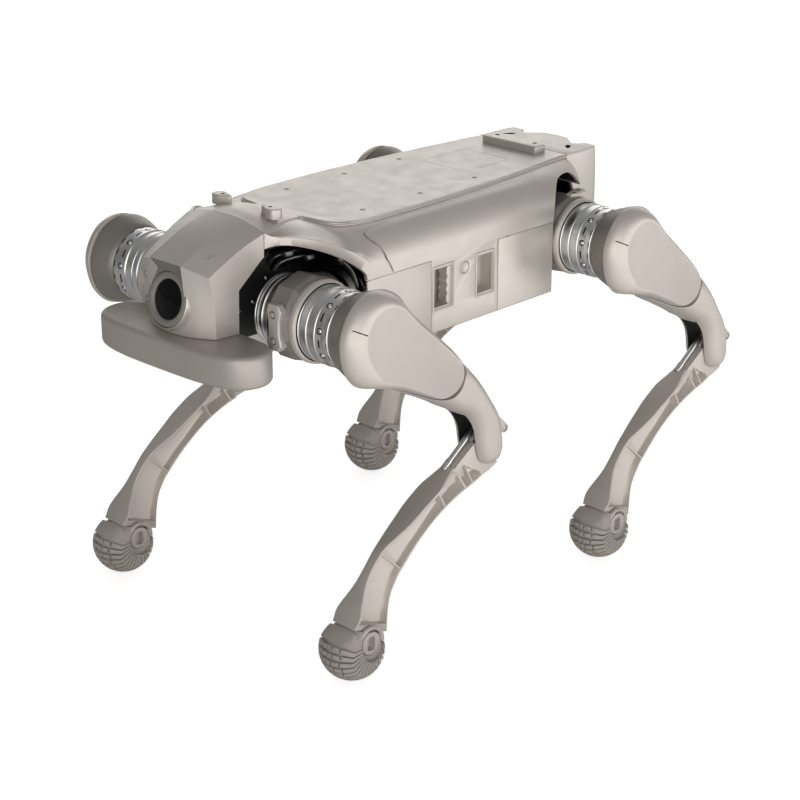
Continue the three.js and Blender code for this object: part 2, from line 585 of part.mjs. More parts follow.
const CAP_SIDE = [[CAP_X, 386], [-257, 386], [-266, 361], [-266, 296], [-253, 286], [CAP_X, 286]];
const CAP_PLAN = [[CAP_X, -58], [-222, -58], [-258, -56.5], [-267, -50], [-267, 50], [-258, 56.5], [-222, 58],
  [CAP_X, 58]];
const CAP_ROOM_SIDE = [[-200, 383], [-254.8, 383], [-263, 360.5], [-263, 297], [-252, 289], [-200, 289]];
const CAP_ROOM_PLAN = [[-200, -55.5], [-222, -55.5], [-255.5, -54], [-264.5, -47.5], [-264.5, 47.5],
  [-255.5, 54], [-222, 55.5], [-200, 55.5]];
const CAP_HIP_CUT = [[-200, 280], [-200, 354], [-212, 354], [-223, 343], [-223, 280]];
const CAP_NOTCH = [[-270, 39], [-257, 39], [-250, 33], [-250, 27], [-257, 20], [-270, 18]];
const CAP_HOLE = { at: [-236, 38], r: 3 };
const CAP_SPAN_Y = [-90, 90];
const CAP_SPAN_Z = [200, 400];
const CAP_NOTCH_Z = [378, 400];

/** Tail cap with two holes and two notches in its top edge. */
function rearCap() {
  const outer = prism(CAP_SIDE, 'xz', ...CAP_SPAN_Y).intersect(prism(CAP_PLAN, 'xy', ...CAP_SPAN_Z));
  const inner = prism(CAP_ROOM_SIDE, 'xz', ...CAP_SPAN_Y)
    .intersect(prism(CAP_ROOM_PLAN, 'xy', ...CAP_SPAN_Z));
  let cap = outer.subtract(inner).subtract(prism(CAP_HIP_CUT, 'xz', ...CAP_SPAN_Y));
  for (const hand of [-1, 1]) {
    const [x, y] = CAP_HOLE.at;
    const notch = CAP_NOTCH.map(([u, v]) => [u, v * hand]);
    cap = cap.subtract(rod(CAP_HOLE.r, 'z', CAP_NOTCH_Z, [x, y * hand], 12));
    cap = cap.subtract(prism(notch, 'xy', ...CAP_NOTCH_Z));
  }
  return cap;
}

const RAIL_OUTLINE = [[-204, -35.5], [-188, -35.5], [-188, 35.5], [-204, 35.5]];
const RAIL_LEVELS = [[DECK_Z + GAP, 0], [392, 0], [393.7, 1.4]];
const RAIL_HOLE = { at: [-199.6, 24.8], r: 2.2 };

function rearRail() {
  let rail = loft(insetRings(RAIL_OUTLINE, RAIL_LEVELS), 'xy');
  for (const hand of [-1, 1]) {
    const [x, y] = RAIL_HOLE.at;
    rail = rail.subtract(rod(RAIL_HOLE.r, 'z', [DECK_Z, CUT_TOP_Z], [x, y * hand], 12));
  }
  return rail;
}

// Left lug from above: it lies across the panel, pointed towards the middle and round outside.
const LUG_OUTLINE = [[160.6, 31.5], [160.4, 36.5], [163, 39.6], [167, 40.4], [171, 39.6], [173.6, 36.5],
  [173.6, 31], [171, 25.5], [168, 20.6], [166, 20.6], [163, 25.5]];
const LUG_LEVELS = [[392.6, 0], [404, 0], [405.4, 1.2]];
const LUG_HOLE = { at: [167.2, 30.5], r: 1.8 };

function frontLug(hand) {
  const outline = LUG_OUTLINE.map(([x, y]) => [x, y * hand]);
  const [x, y] = LUG_HOLE.at;
  return loft(insetRings(outline, LUG_LEVELS), 'xy')
    .subtract(headTop().translate([0, 0, GAP]))
    .subtract(rod(LUG_HOLE.r, 'z', [390, 420], [x, y * hand], 12));
}

const FRONT_BULKHEAD = { x: [70.4, 75.4], y: [-92, 92], z: [274, 352] };
const REAR_BULKHEAD = { x: [-80, -75], y: [-92, 92], z: [274, 352] };
const BAY_DECK = { x: [-80, 75.4], y: [-70, 70], z: [349.5, 353.5] };
const FRONT_SPINE = { x: [74, 216], y: [-22, 22], z: [309, 343] };
const REAR_SPINE = { x: [-250, -79], y: [-22, 22], z: [300, 343] };

/** Inner frame: two bulkheads, the deck over the battery bay and the spines to head and tail. */
function chassisFrame() {
  return boxOf(FRONT_BULKHEAD).add(boxOf(REAR_BULKHEAD)).add(boxOf(BAY_DECK))
    .add(boxOf(FRONT_SPINE)).add(boxOf(REAR_SPINE));
}

const BOARD = { x: [-48, 48], y: [-52, 52], z: [357, 359.5] };
const HEAT_SINK = { x: [-22, 22], y: [-24, 24], z: [359, 370] };
const RIGHT_SOCKET = { x: [30, 44], y: [-44, -20], z: [359, 366] };
const LEFT_SOCKET = { x: [30, 44], y: [20, 44], z: [359, 366] };

const mainBoard = () => boxOf(BOARD).add(boxOf(HEAT_SINK)).add(boxOf(RIGHT_SOCKET)).add(boxOf(LEFT_SOCKET));

const CELLS = { x: PACK_X, y: [-60, 96.5], z: [272, 345.5] };
const DOOR_CORNER = 4;
const DOOR_Y = [95.8, FLANK_Y];
const GRIP_Y = [88, 110];
const BUTTON_ROOM_Y = [94.6, 110];

/** The flank door with two finger grips, and the cells behind it. */
function batteryPack() {
  const [x0, x1] = DOOR_X;
  const [z0, z1] = DOOR_Z;
  const outline = [[x0, z0 + DOOR_CORNER], [x0 + DOOR_CORNER, z0], [x1 - DOOR_CORNER, z0],
    [x1, z0 + DOOR_CORNER], [x1, z1 - DOOR_CORNER], [x1 - DOOR_CORNER, z1], [x0 + DOOR_CORNER, z1],
    [x0, z1 - DOOR_CORNER]];
  return boxOf(CELLS).add(prism(outline, 'xz', ...DOOR_Y))
    .subtract(box(FRONT_GRIP_X, GRIP_Y, GRIP_Z))
    .subtract(box(REAR_GRIP_X, GRIP_Y, GRIP_Z))
    .subtract(rod(BUTTON_R + 0.5, 'y', BUTTON_ROOM_Y, BUTTON));
}

const LATCH_DEPTH = 6;
const LATCH_Y = [89, 98.4];

function batteryLatch() {
  const across = [FRONT_GRIP_X[0] + GAP, FRONT_GRIP_X[0] + LATCH_DEPTH];
  return box(across, LATCH_Y, [GRIP_Z[0] + GAP, GRIP_Z[1] - GAP]);
}

const powerButton = () => rod(BUTTON_R, 'y', [96.8, FLANK_Y], BUTTON);

// ---- assembly ----

/** A plain geometry from a solid. */
function toGeometry(piece) {
  const mesh = piece.getMesh();
  const geometry = new THREE.BufferGeometry();
  const points = [];
  for (let i = 0; i < mesh.vertProperties.length; i += mesh.numProp) {
    points.push(...mesh.vertProperties.slice(i, i + 3));
  }
  geometry.setAttribute('position', new THREE.Float32BufferAttribute(points, 3));
  geometry.setIndex([...mesh.triVerts]);
  return geometry;
}

const FINISH = {
  paint: { color: 0xc9c2b9, roughness: 0.45, metalness: 0.1 },
  plastic: { color: 0x8d8680, roughness: 0.6, metalness: 0 },
  dark: { color: 0x26262a, roughness: 0.6, metalness: 0.1 },
  steel: { color: 0xb4b6b8, roughness: 0.3, metalness: 0.9 },
  glass: { color: 0x060607, roughness: 0.05, metalness: 0 },
  rubber: { color: 0x98918a, roughness: 0.8, metalness: 0 },
  board: { color: 0x1f4d33, roughness: 0.5, metalness: 0 },
};

const group = new THREE.Group();
group.name = 'quadruped_robot';

function put(name, piece, finish, side = 1, x = 0, z = 0) {
  const geometry = toGeometry(piece);
  if (side < 0) {
    geometry.scale(1, -1, 1);
    geometry.index.array.reverse();
  }
  geometry.translate(x + TRUNK_SHIFT, 0, z);
  geometry.computeVertexNormals();
  const mesh = new THREE.Mesh(geometry, new THREE.MeshStandardMaterial(FINISH[finish]));
  mesh.name = name;
  group.add(mesh);
}

put('chassis_frame', chassisFrame(), 'dark');
put('main_board', mainBoard(), 'board');
put('lower_tray', lowerTray(), 'paint');
put('top_cover', topCover(), 'paint');
put('top_plate', topPlate(), 'paint');
put('head_top', headTop(), 'paint');
put('head_cover', headCover(), 'paint');
put('camera_bezel', cameraBezel(), 'plastic');
put('camera_lens', cameraLens(), 'glass');
put('chin_bumper', chinBumper(), 'paint');
put('rear_cap', rearCap(), 'paint');
put('rear_rail', rearRail(), 'paint');
put('front_lug_left', frontLug(1), 'paint');
put('front_lug_right', frontLug(-1), 'paint');
put('battery_pack', batteryPack(), 'paint');
put('battery_latch', batteryLatch(), 'plastic');
put('power_button', powerButton(), 'plastic');

const LEG_PIECES = [['thigh_frame', thighFrame(), 'paint'], ['thigh_cover', thighCover(), 'paint'],
  ['hip_motor', hipMotor(), 'steel'], ['knee_motor', kneeMotor(), 'steel'],
  ['knee_crank', kneeCrank(), 'steel'],
  ['push_rod', pushRod(), 'steel'], ['shank', shank(), 'paint'], ['foot', foot(), 'rubber']];
for (const [end, inboard] of [['front', -1], ['rear', 1]]) {
  const x = HIP_MID_X - inboard * HALF_WHEELBASE;
  const ends = [['roll_motor', hipRollMotor(inboard), 'dark'], ['hip_bracket', hipBracket(inboard), 'paint']];
  for (const [hand, side] of [['left', 1], ['right', -1]]) {
    for (const [piece, shape, finish] of [...ends, ...LEG_PIECES]) {
      put(`${end}_${hand}_${piece}`, shape, finish, side, x, HIP_Z);
    }
  }
}

export default group;
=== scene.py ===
"""Looks of the quadruped robot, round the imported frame. Shapes are in millimetres until they are placed."""
import json
import math

import bmesh
import bpy
from mathutils import Matrix, Vector


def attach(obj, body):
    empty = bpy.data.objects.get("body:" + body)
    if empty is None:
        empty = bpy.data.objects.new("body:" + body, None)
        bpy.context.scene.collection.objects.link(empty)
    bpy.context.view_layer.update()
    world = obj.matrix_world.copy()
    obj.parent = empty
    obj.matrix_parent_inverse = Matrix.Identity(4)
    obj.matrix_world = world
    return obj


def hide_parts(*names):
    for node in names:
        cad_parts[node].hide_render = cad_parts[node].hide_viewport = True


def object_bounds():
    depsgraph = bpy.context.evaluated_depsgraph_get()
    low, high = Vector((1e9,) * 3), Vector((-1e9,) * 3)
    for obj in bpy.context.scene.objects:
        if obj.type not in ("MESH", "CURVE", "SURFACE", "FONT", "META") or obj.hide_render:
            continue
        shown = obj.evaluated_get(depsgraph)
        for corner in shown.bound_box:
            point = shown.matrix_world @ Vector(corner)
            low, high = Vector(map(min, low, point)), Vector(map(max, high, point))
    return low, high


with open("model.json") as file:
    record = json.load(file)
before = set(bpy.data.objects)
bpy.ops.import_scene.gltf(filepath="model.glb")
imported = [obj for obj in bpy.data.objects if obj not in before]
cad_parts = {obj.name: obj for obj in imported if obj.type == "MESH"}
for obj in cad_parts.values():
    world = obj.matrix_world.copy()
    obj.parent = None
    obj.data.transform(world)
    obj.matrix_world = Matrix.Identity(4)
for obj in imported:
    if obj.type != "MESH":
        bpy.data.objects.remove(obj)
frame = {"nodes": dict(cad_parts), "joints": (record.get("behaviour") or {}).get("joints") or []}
CAD_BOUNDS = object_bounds()

# ---- places taken from the frame ----
MM = 0.001
JOINTS = {joint["name"]: joint for joint in frame["joints"]}
HIPS = {leg: Vector(JOINTS[leg + "_hip_pitch"]["pos_m"]) for leg in
        ("front_left", "front_right", "rear_left", "rear_right")}
MID_HIP_TO_TRUNK = 2.3  # the trunk's own zero lies this far ahead of the middle of the hips
TRUNK_X = (HIPS["front_left"].x + HIPS["rear_left"].x) / 2 + MID_HIP_TO_TRUNK * MM
KNEE = ((Vector(JOINTS["front_left_knee"]["pos_m"]) - HIPS["front_left"]) / MM).xz

# ---- leg, from the hip axis ----
LEG_Y = 160
BALL = (25.8, -287.2)
BALL_R = 30
HUB = (18.2, -280.6)
LEVER = (-26.5, 9)
FORK_Y = (147.5, 167.2)
CROWN_Y = 166
LIMB_LEAN = (0.716, 0.698)
KNEE_ROOM = 50
HEAD_Y = (151.5, 161)
ROD_Y = (161.3, 166.3)
LIMB = [(31, 4), (26, 20), (12, 32), (-6, 35), (-24, 27), (-43.6, 8.2), (-68.7, -12.9), (-92.2, -34),
        (-113.8, -54.9), (-128.6, -70.9), (-143.7, -90.7), (-156.5, -110.2), (-161.6, -129.1), (-162.6, -146),
        (-157, -157), (-146, -160.6), (-135, -155), (-129.5, -141), (-126, -122.4), (-119.7, -110),
        (-110, -100.5), (-95.4, -92.7), (-81, -84), (-57.8, -71.5), (-32.7, -58), (-8, -36), (12, -31),
        (26, -17)]
COVER = [(44, 3), (39, 22), (25, 38), (4, 44), (-17, 37.5), (-31, 22.5), (-43.6, 10), (-68.7, -12),
         (-89, -31), (-98.5, -45), (-98.5, -60), (-88, -71.5), (-70, -73), (-45, -62), (-20, -50.5),
         (5, -43.5), (25, -37), (38.5, -21.5)]
COVER_FACE = [(26, 3), (22.5, 17), (12, 28), (-3, 31), (-19, 24), (-31, 12.5), (-42, 2), (-65, -18),
              (-84, -35.5), (-94, -47), (-94, -59), (-84.5, -67.5), (-68, -68.8), (-43, -56), (-18, -43),
              (4, -34), (14, -24), (22, -11)]
# rows down the shank: front x, z, rear x, z, half width of the front edge and of the rear edge
SHANK = [(-122, -128, -161.5, -163, 6, 6.5), (-112, -140, -151, -166, 6, 7.5),
         (-103, -148.3, -139, -168.5, 6, 8.5), (-90.7, -155.4, -121, -172, 8.5, 11),
         (-72.7, -165.5, -104, -176, 12.5, 11.5), (-55.1, -175.2, -84, -184.5, 12, 10.8),
         (-38.8, -185.5, -68, -194, 10.5, 10.2), (-23.6, -193.9, -54, -204, 8, 10),
         (-9.1, -202.6, -42, -212.5, 5.5, 11), (3.6, -215.3, -31, -222.5, 5, 11),
         (12.8, -226.8, -22, -231.5, 6, 11), (20.8, -238, -16, -243, 9.5, 9.7),
         (26, -245.2, -13.5, -252, 12.5, 9), (30.7, -254.1, -11, -262, 15.5, 9.6),
         (36, -262, -8.2, -280.5, 14, 10.8)]
# both ends of each pocket: its row on the front edge, its row on the rear edge, and its front wall
SHANK_POCKETS = [((0.6, 2.1, 33), (0.98, 2.85, 14)), ((1.07, 2.95, 11.5), (2.18, 3.43, 7.5)),
                 ((2.3, 3.55, 8), (3.88, 4.85, 6.4)), ((3.98, 4.97, 2.6), (8.12, 9.3, 2.0)),
                 ((8.22, 9.4, 2.0), (13.45, 13.62, 2.0))]
WALL_FOOT = [(2, 8), (4.8, 8), (5, 6), (9, 3.6), (11, 3.6), (13.5, 4.2)]  # from the rear edge, by row
WEB = [(2, 2.6), (4.8, 2.6), (5, 3.2), (7, 4.4), (13.5, 4.4)]  # half thickness, by row
WEB_REACH = 4.8  # faces this near the middle plane belong to the web
LIP = 1.9
LEG_SPAN = (100, 200)  # reaches across a whole leg
HEAD_RADIUS = 39
TREAD_ROWS = 15
TREAD_PITCH = 14.2
TREAD_EDGE = 48
RECESS_RADIUS = 15.8
MOTOR_BOLTS = 9
BOLT_TURNS = [360 / MOTOR_BOLTS * k + 12 for k in range(MOTOR_BOLTS)]
BOLT_Y = 132.5
ROLL_AXIS_Y = 62

# ---- trunk, from its own zero ----
FLANK_Y = 100
FLANK_X = (-140.5, 116)
FLOOR_Z = 268
PARTING_Z = 340
DECK_Z = 386.3
ROOF_Z = 383.4
WALL = 2.5
SEAM_X = 193.3
COVER_X = SEAM_X - 0.4
ROOF_REAR_X = -209.6
SHOULDER_X = 104
CAP_X = -210
DOOR_X = (-60, 32)
DOOR_Z = (268.8, 347)
GRIP_Z = (292.5, 329.5)
FRONT_GRIP_X = (5, 28)
REAR_GRIP_X = (-52, -31)
BUTTON = (-13, 323)
HEAD_HALF = 50
NOSE_HALF = 43.5
BROW_HALF = 20.4
CHIN_Z = 304.6
LENS = (263.4, 335.8)
LENS_TILT = 13
DECK_EDGE = [(ROOF_REAR_X, 57), (-180, 60.5), (-115, 67.5), (-45, 72.5), (20, 74.5), (75, 74), (97, 72),
             (110, 67), (119, 59), (124, 48), (126.5, 36), (130, 29.5)]
HEAD_EDGE = [(138, 31.5), (146, 34.5), (160, 40), (177, 46), (COVER_X, HEAD_HALF)]
RIM_HEIGHT = [(112, 0), (131, 1.6), (146, 3.7), (160, 5.2), (177, 5.2), (194, 3.7)]
BEAD_Z = [(-210, 383.9), (112, 383.9), (131, 385.2), (146, 387.2), (160, 388.8), (177, 388.8), (194, 387.4)]
DECK_RIM = 1.9
BAY_PLATE_Y = (26.6, 29.4)
FRONT_ARCH = [(116.4, 330), (116.4, 341), (118, 347), (126, 354.5), (139, 364), (157, 373), (174, 378.4),
              (186, 378.6), (193.5, 376)]
REAR_ARCH = [(-140.9, 330), (-140.9, 341), (-143.5, 357.5), (-152, 368.5), (-166, 375.5), (-190, 375),
             (-204, 362), (-215, 354)]
BAND_TOP = [(110, 340), (110.3, 350), (113.5, 357), (122, 364.5), (135, 372.5), (154, 381.5), (170, 386),
            (181, 386.8), (188, 387.6), (192.9, 390.5)]
WING_FRONT = [(0, 83), (0.04, 88), (0.12, 91), (0.3, 93.5), (0.45, 96), (0.6, 100.5), (0.75, 104.5),
              (0.88, 105), (0.96, 101.5), (1, 96)]
ROOF_HALF = [(ROOF_REAR_X, 78), (-200, 84), (-180, 93), (-160, 98.5), (-141, 100), (104, 100), (116, 99.2),
             (125, 96.6), (138, 91), (150, 84), (163, 75.6), (175, 66), (186, 56), (SEAM_X, 50)]
ROOF_INNER = [(ROOF_REAR_X, 52), (-180, 57), (-141, 62), (-45, 70), (75, 71), (97, 69), (108, 65), (116, 59),
              (122, 50), (127, 36), (131, 30), (138, 31), (146, 33.8), (160, 39.2), (177, 44.6),
              (SEAM_X, 47.5)]
ROOF_CROWN = [(ROOF_REAR_X, ROOF_Z), (118, ROOF_Z), (127, 385.2), (134, 387), (146, 389), (160, 390.4),
              (177, 390.4), (SEAM_X, 389.2)]
SHOULDER_Z = [(ROOF_REAR_X, 350), (104, 350), (112, 353), (122, 362.5), (135, 371.0), (154, 380.2),
              (170, 384.6), (181, 385.4), (188, 386.2), (SEAM_X, 389)]

# ---- light and camera ----
FLOOR_HALF = 12
FLOOR_SEEN = 0.75
FLOOR_BOUNCE = 1.7
BOUNCE_Y = (0.1, 1.1)
ROOM_LIGHT = 0.2
ROOM_COLOUR = (1.0, 0.985, 0.965, 1)
# direction, how far it reaches as a cosine, and brightness
SOFT_LIGHTS = [((-0.3, 0.95, 0.0), 0.85, 1.75), ((-0.78, -0.60, 0.16), 0.72, 1.4),
               ((-0.2, -0.3, 0.93), 0.3, 0.12), ((0.72, 0.69, 0.06), 0.7, 2.1)]
CAMERA_AZIMUTH = 43.68
CAMERA_ELEVATION = 21.33
CAMERA_DISTANCE = 2.0777
CAMERA_AIM = Vector((0.0155, 0.0065, -0.0402))  # from the middle of the robot's box
CAMERA_LENS = 94.52


# ---- shapes: points in millimetres, faces, and which of the piece's finishes each face takes ----
class Shape:
    def __init__(self, points, faces, looks=None):
        self.points = [Vector(point) for point in points]
        self.faces = [tuple(face) for face in faces]
        self.looks = looks or [0] * len(self.faces)


def joined(*shapes):
    """Several shapes as one, with no join between them."""
    points, faces, looks = [], [], []
    for shape in shapes:
        start = len(points)
        points += shape.points
        faces += [tuple(index + start for index in face) for face in shape.faces]
        looks += shape.looks
    return Shape(points, faces, looks)


def changed(shape, rule):
    """The shape with every point moved by a rule."""
    return Shape([rule(point) for point in shape.points], shape.faces, shape.looks)


def moved(shape, x, y, z):
    step = Vector((x, y, z))
    return changed(shape, lambda point: point + step)


def turned_by(shape, degrees, axis):
    matrix = Matrix.Rotation(math.radians(degrees), 3, axis)
    return changed(shape, lambda point: matrix @ point)


def mirrored(shape):
    """The shape for the other side of the robot."""
    points = [Vector((point.x, -point.y, point.z)) for point in shape.points]
    return Shape(points, [face[::-1] for face in shape.faces], shape.looks)


def dressed(shape, look):
    return Shape(shape.points, shape.faces, [look] * len(shape.faces))


def mesh_of(shape, name="work"):
    mesh = bpy.data.meshes.new(name)
    mesh.from_pydata([tuple(point) for point in shape.points], [], shape.faces)
    mesh.polygons.foreach_set("material_index", shape.looks)
    work = bmesh.new()
    work.from_mesh(mesh)
    bmesh.ops.recalc_face_normals(work, faces=work.faces)
    work.to_mesh(mesh)
    work.free()
    return mesh


def shape_of(mesh):
    return Shape([vertex.co.copy() for vertex in mesh.vertices],
                 [tuple(face.vertices) for face in mesh.polygons],
                 [face.material_index for face in mesh.polygons])


def solved(shape, tools, operation):
    """A boolean of the shape with each tool in turn."""
    scene = bpy.context.scene
    objects = []
    for number, each in enumerate([shape, *tools]):
        item = bpy.data.objects.new(f"work{number}", mesh_of(each))
        for slot_number in range(3):
            item.data.materials.append(bpy.data.materials.get(f"work{slot_number}")
                                       or bpy.data.materials.new(f"work{slot_number}"))
        scene.collection.objects.link(item)
        objects.append(item)
    for tool in objects[1:]:
        cutter = objects[0].modifiers.new("cut", "BOOLEAN")
        cutter.operation = operation
        cutter.solver = "MANIFOLD"
        cutter.object = tool
    evaluated = objects[0].evaluated_get(bpy.context.evaluated_depsgraph_get())
    result = shape_of(evaluated.data)
    for item in objects:
        mesh = item.data
        bpy.data.objects.remove(item)
        bpy.data.meshes.remove(mesh)
    return result


def cut(shape, *tools):
    return solved(shape, tools, "DIFFERENCE")


def fused(shape, *tools):
    return solved(shape, tools, "UNION")


def common(shape, *tools):
    return solved(shape, tools, "INTERSECT")


# ---- outlines ----
def smooth(points, per_point, closed=True):
    """A Catmull-Rom curve through the points, of any number of coordinates."""
    knots = [Vector(point) for point in points]
    count = len(knots)
    result = []
    for index in range(count if closed else count - 1):
        places = range(index - 1, index + 3)
        a, b, c, d = [knots[place % count if closed else min(max(place, 0), count - 1)] for place in places]
        for step in range(per_point):
            t = step / per_point
            result.append(0.5 * (2 * b + (c - a) * t + (2 * a - 5 * b + 4 * c - d) * t ** 2
                                 + (3 * b - a - 3 * c + d) * t ** 3))
    if not closed:
        result.append(knots[-1])
    return result


def rounded(points, radius, steps=5):
    """A closed outline with its corners rounded by arcs."""
    corners = [Vector(point) for point in points]
    result = []
    for index, corner in enumerate(corners):
        before = corners[index - 1] - corner
        after = corners[(index + 1) % len(corners)] - corner
        angle = before.angle(after)
        reach = min(radius / math.tan(angle / 2), before.length * 0.48, after.length * 0.48)
        start = corner + before.normalized() * reach
        end = corner + after.normalized() * reach
        for step in range(steps + 1):
            t = step / steps
            result.append(start * (1 - t) ** 2 + corner * 2 * t * (1 - t) + end * t ** 2)
    return result


def signed_area(points):
    return sum(a[0] * b[1] - b[0] * a[1] for a, b in zip(points, [*points[1:], points[0]])) / 2


def inset(points, distance):
    """A closed outline moved inwards, or outwards where the distance is negative."""
    turn = 1 if signed_area(points) > 0 else -1
    result = []
    for index, point in enumerate(points):
        before = (Vector(point) - Vector(points[index - 1])).normalized()
        after = (Vector(points[(index + 1) % len(points)]) - Vector(point)).normalized()
        along = before + after
        if along.length < 1e-6:
            along = before
        along.normalize()
        reach = distance / max(0.5, abs(along.dot(before)))
        result.append(Vector((point[0] - along.y * turn * reach, point[1] + along.x * turn * reach)))
    return result


def along_table(table, x):
    """A smooth value from a table of (x, value) rows."""
    last = len(table) - 1
    if x <= table[0][0]:
        return table[0][1]
    if x >= table[last][0]:
        return table[last][1]

    def rate(a, b):
        return (table[b][1] - table[a][1]) / (table[b][0] - table[a][0])

    def slope(k):
        if k in (0, last):
            return rate(max(k - 1, 0), min(k + 1, last))
        left, right = rate(k - 1, k), rate(k, k + 1)
        return 0 if left * right <= 0 else 2 * left * right / (left + right)

    index = max(k for k in range(last) if table[k][0] <= x)
    (x0, v0), (x1, v1) = table[index], table[index + 1]
    h = x1 - x0
    t = (x - x0) / h
    return ((1 + 2 * t) * (1 - t) ** 2 * v0 + t * (1 - t) ** 2 * h * slope(index)
            + t ** 2 * (3 - 2 * t) * v1 + t ** 2 * (t - 1) * h * slope(index + 1))


def steady(a, b, x):
    """0 below a, 1 above b and a smooth rise between."""
    t = min(max((x - a) / (b - a), 0), 1)
    return t * t * (3 - 2 * t)


# ---- solids ----
PLANES = {"xy": lambda u, v, w: (u, v, w), "xz": lambda u, v, w: (u, w, v), "yz": lambda u, v, w: (w, u, v)}


def skin(rings):
    """A solid through rings of points, capped at both ends."""
    count, last = len(rings[0]), len(rings) - 1
    points = [point for ring in rings for point in ring]
    faces = []
    for start in range(0, last * count, count):
        for i in range(count):
            j = (i + 1) % count
            faces.append((start + i, start + j, start + count + j, start + count + i))
    faces.append(tuple(range(count))[::-1])
    faces.append(tuple(range(last * count, len(points))))
    return Shape(points, faces)


def loft(rings, plane):
    """A solid through outlines, each given as (place along the axis, outline)."""
    put = PLANES[plane]
    return skin([[put(u, v, at) for u, v in outline] for at, outline in rings])


def prism(outline, plane, start, end):
    return loft([(start, outline), (end, outline)], plane)


def soft_prism(outline, plane, start, end, low, high, steps):
    """A prism whose two end edges are rounded by the radii low and high."""
    def edge(at, way, radius):
        turns = [math.pi / 2 * step / steps for step in range(steps + 1)]
        return [(at + way * radius * (1 - math.sin(turn)), inset(outline, radius * (1 - math.cos(turn))))
                for turn in turns]

    return loft(edge(start, 1, low)[::-1] + edge(end, -1, high), plane)


def rectangle(u, v, grow=(0, 0)):
    """The corners between two places on each axis, moved out by a margin on each axis."""
    (u0, u1), (v0, v1), (du, dv) = u, v, grow
    return [(u0 - du, v0 - dv), (u1 + du, v0 - dv), (u1 + du, v1 + dv), (u0 - du, v1 + dv)]


def box(x, y, z):
    return prism(rectangle(x, y), "xy", *z)


def soft_box(x, y, z, radius):
    """A box whose edges are rounded."""
    return soft_prism(rounded(rectangle(x, y), radius, 3), "xy", *z, radius * 0.8, radius * 0.8, 2)


def turned(profile, axis, at=(0, 0), segments=64):
    """A turned solid from (radius, place along the axis); at is the axis's other two places."""
    rings, points, faces = [], [], []
    for radius, height in profile:
        ring = []
        for step in range(segments if radius > 1e-6 else 1):
            angle = 2 * math.pi * step / segments
            a, b = at[0] + radius * math.cos(angle), at[1] + radius * math.sin(angle)
            place = {"x": (height, a, b), "y": (a, height, b), "z": (a, b, height)}[axis]
            ring.append(len(points))
            points.append(place)
        rings.append(ring)
    pairs = list(zip(rings, rings[1:]))
    if profile[0][0] > 1e-6:
        pairs.append((rings[-1], rings[0]))
    for low, high in pairs:
        for step in range(segments):
            after = (step + 1) % segments
            if len(low) == 1 < len(high):
                faces.append((low[0], high[after], high[step]))
            elif len(high) == 1 < len(low):
                faces.append((low[step], low[after], high[0]))
            elif len(low) > 1:
                faces.append((low[step], low[after], high[after], high[step]))
    return Shape(points, faces)


def rod(radius, axis, span, at=(0, 0), segments=32):
    return turned([(0, span[0]), (radius, span[0]), (radius, span[1]), (0, span[1])], axis, at, segments)


def soft_rod(radius, axis, span, at, edge=0.5, segments=32):
    """A rod with rounded end edges."""
    low, high = span
    return turned([(0, low), (radius - edge, low), (radius - edge * 0.3, low + edge * 0.3),
                   (radius, low + edge), (radius, high - edge), (radius - edge * 0.3, high - edge * 0.3),
                   (radius - edge, high), (0, high)], axis, at, segments)


def ball(radius, centre, squash, axis="y"):
    """A low dome, flattened along its axis."""
    rings = 8
    profile = [(radius * math.sin(turn), -radius * squash * math.cos(turn))
               for turn in (math.pi * k / rings for k in range(1, rings))]
    profile = [(0, -radius * squash), *profile, (0, radius * squash)]
    return moved(turned(profile, axis, segments=20), *centre)


def link(start, end, radius, span, steps=10):
    """A bar with round ends between two points of the XZ plane."""
    angle = math.atan2(end[1] - start[1], end[0] - start[0])
    outline = []
    for (x, z), turn in ((start, math.pi / 2), (end, -math.pi / 2)):
        for step in range(steps + 1):
            here = angle + turn + math.pi * step / steps
            outline.append((x + radius * math.cos(here), z + radius * math.sin(here)))
    return soft_prism(outline, "xz", *span, 0.5, 0.5, 2)


def tube_along(path, radius, sides):
    """A round bar that follows a path."""
    rings = []
    points = [Vector(point) for point in path]
    for index, point in enumerate(points):
        ahead = (points[min(index + 1, len(points) - 1)] - points[max(index - 1, 0)]).normalized()
        side = ahead.cross(Vector((0.31, 0.95, 0.07))).normalized()
        up = ahead.cross(side)
        rings.append([point + (side * math.cos(turn) + up * math.sin(turn)) * radius
                      for turn in (2 * math.pi * k / sides for k in range(sides))])
    return skin(rings)


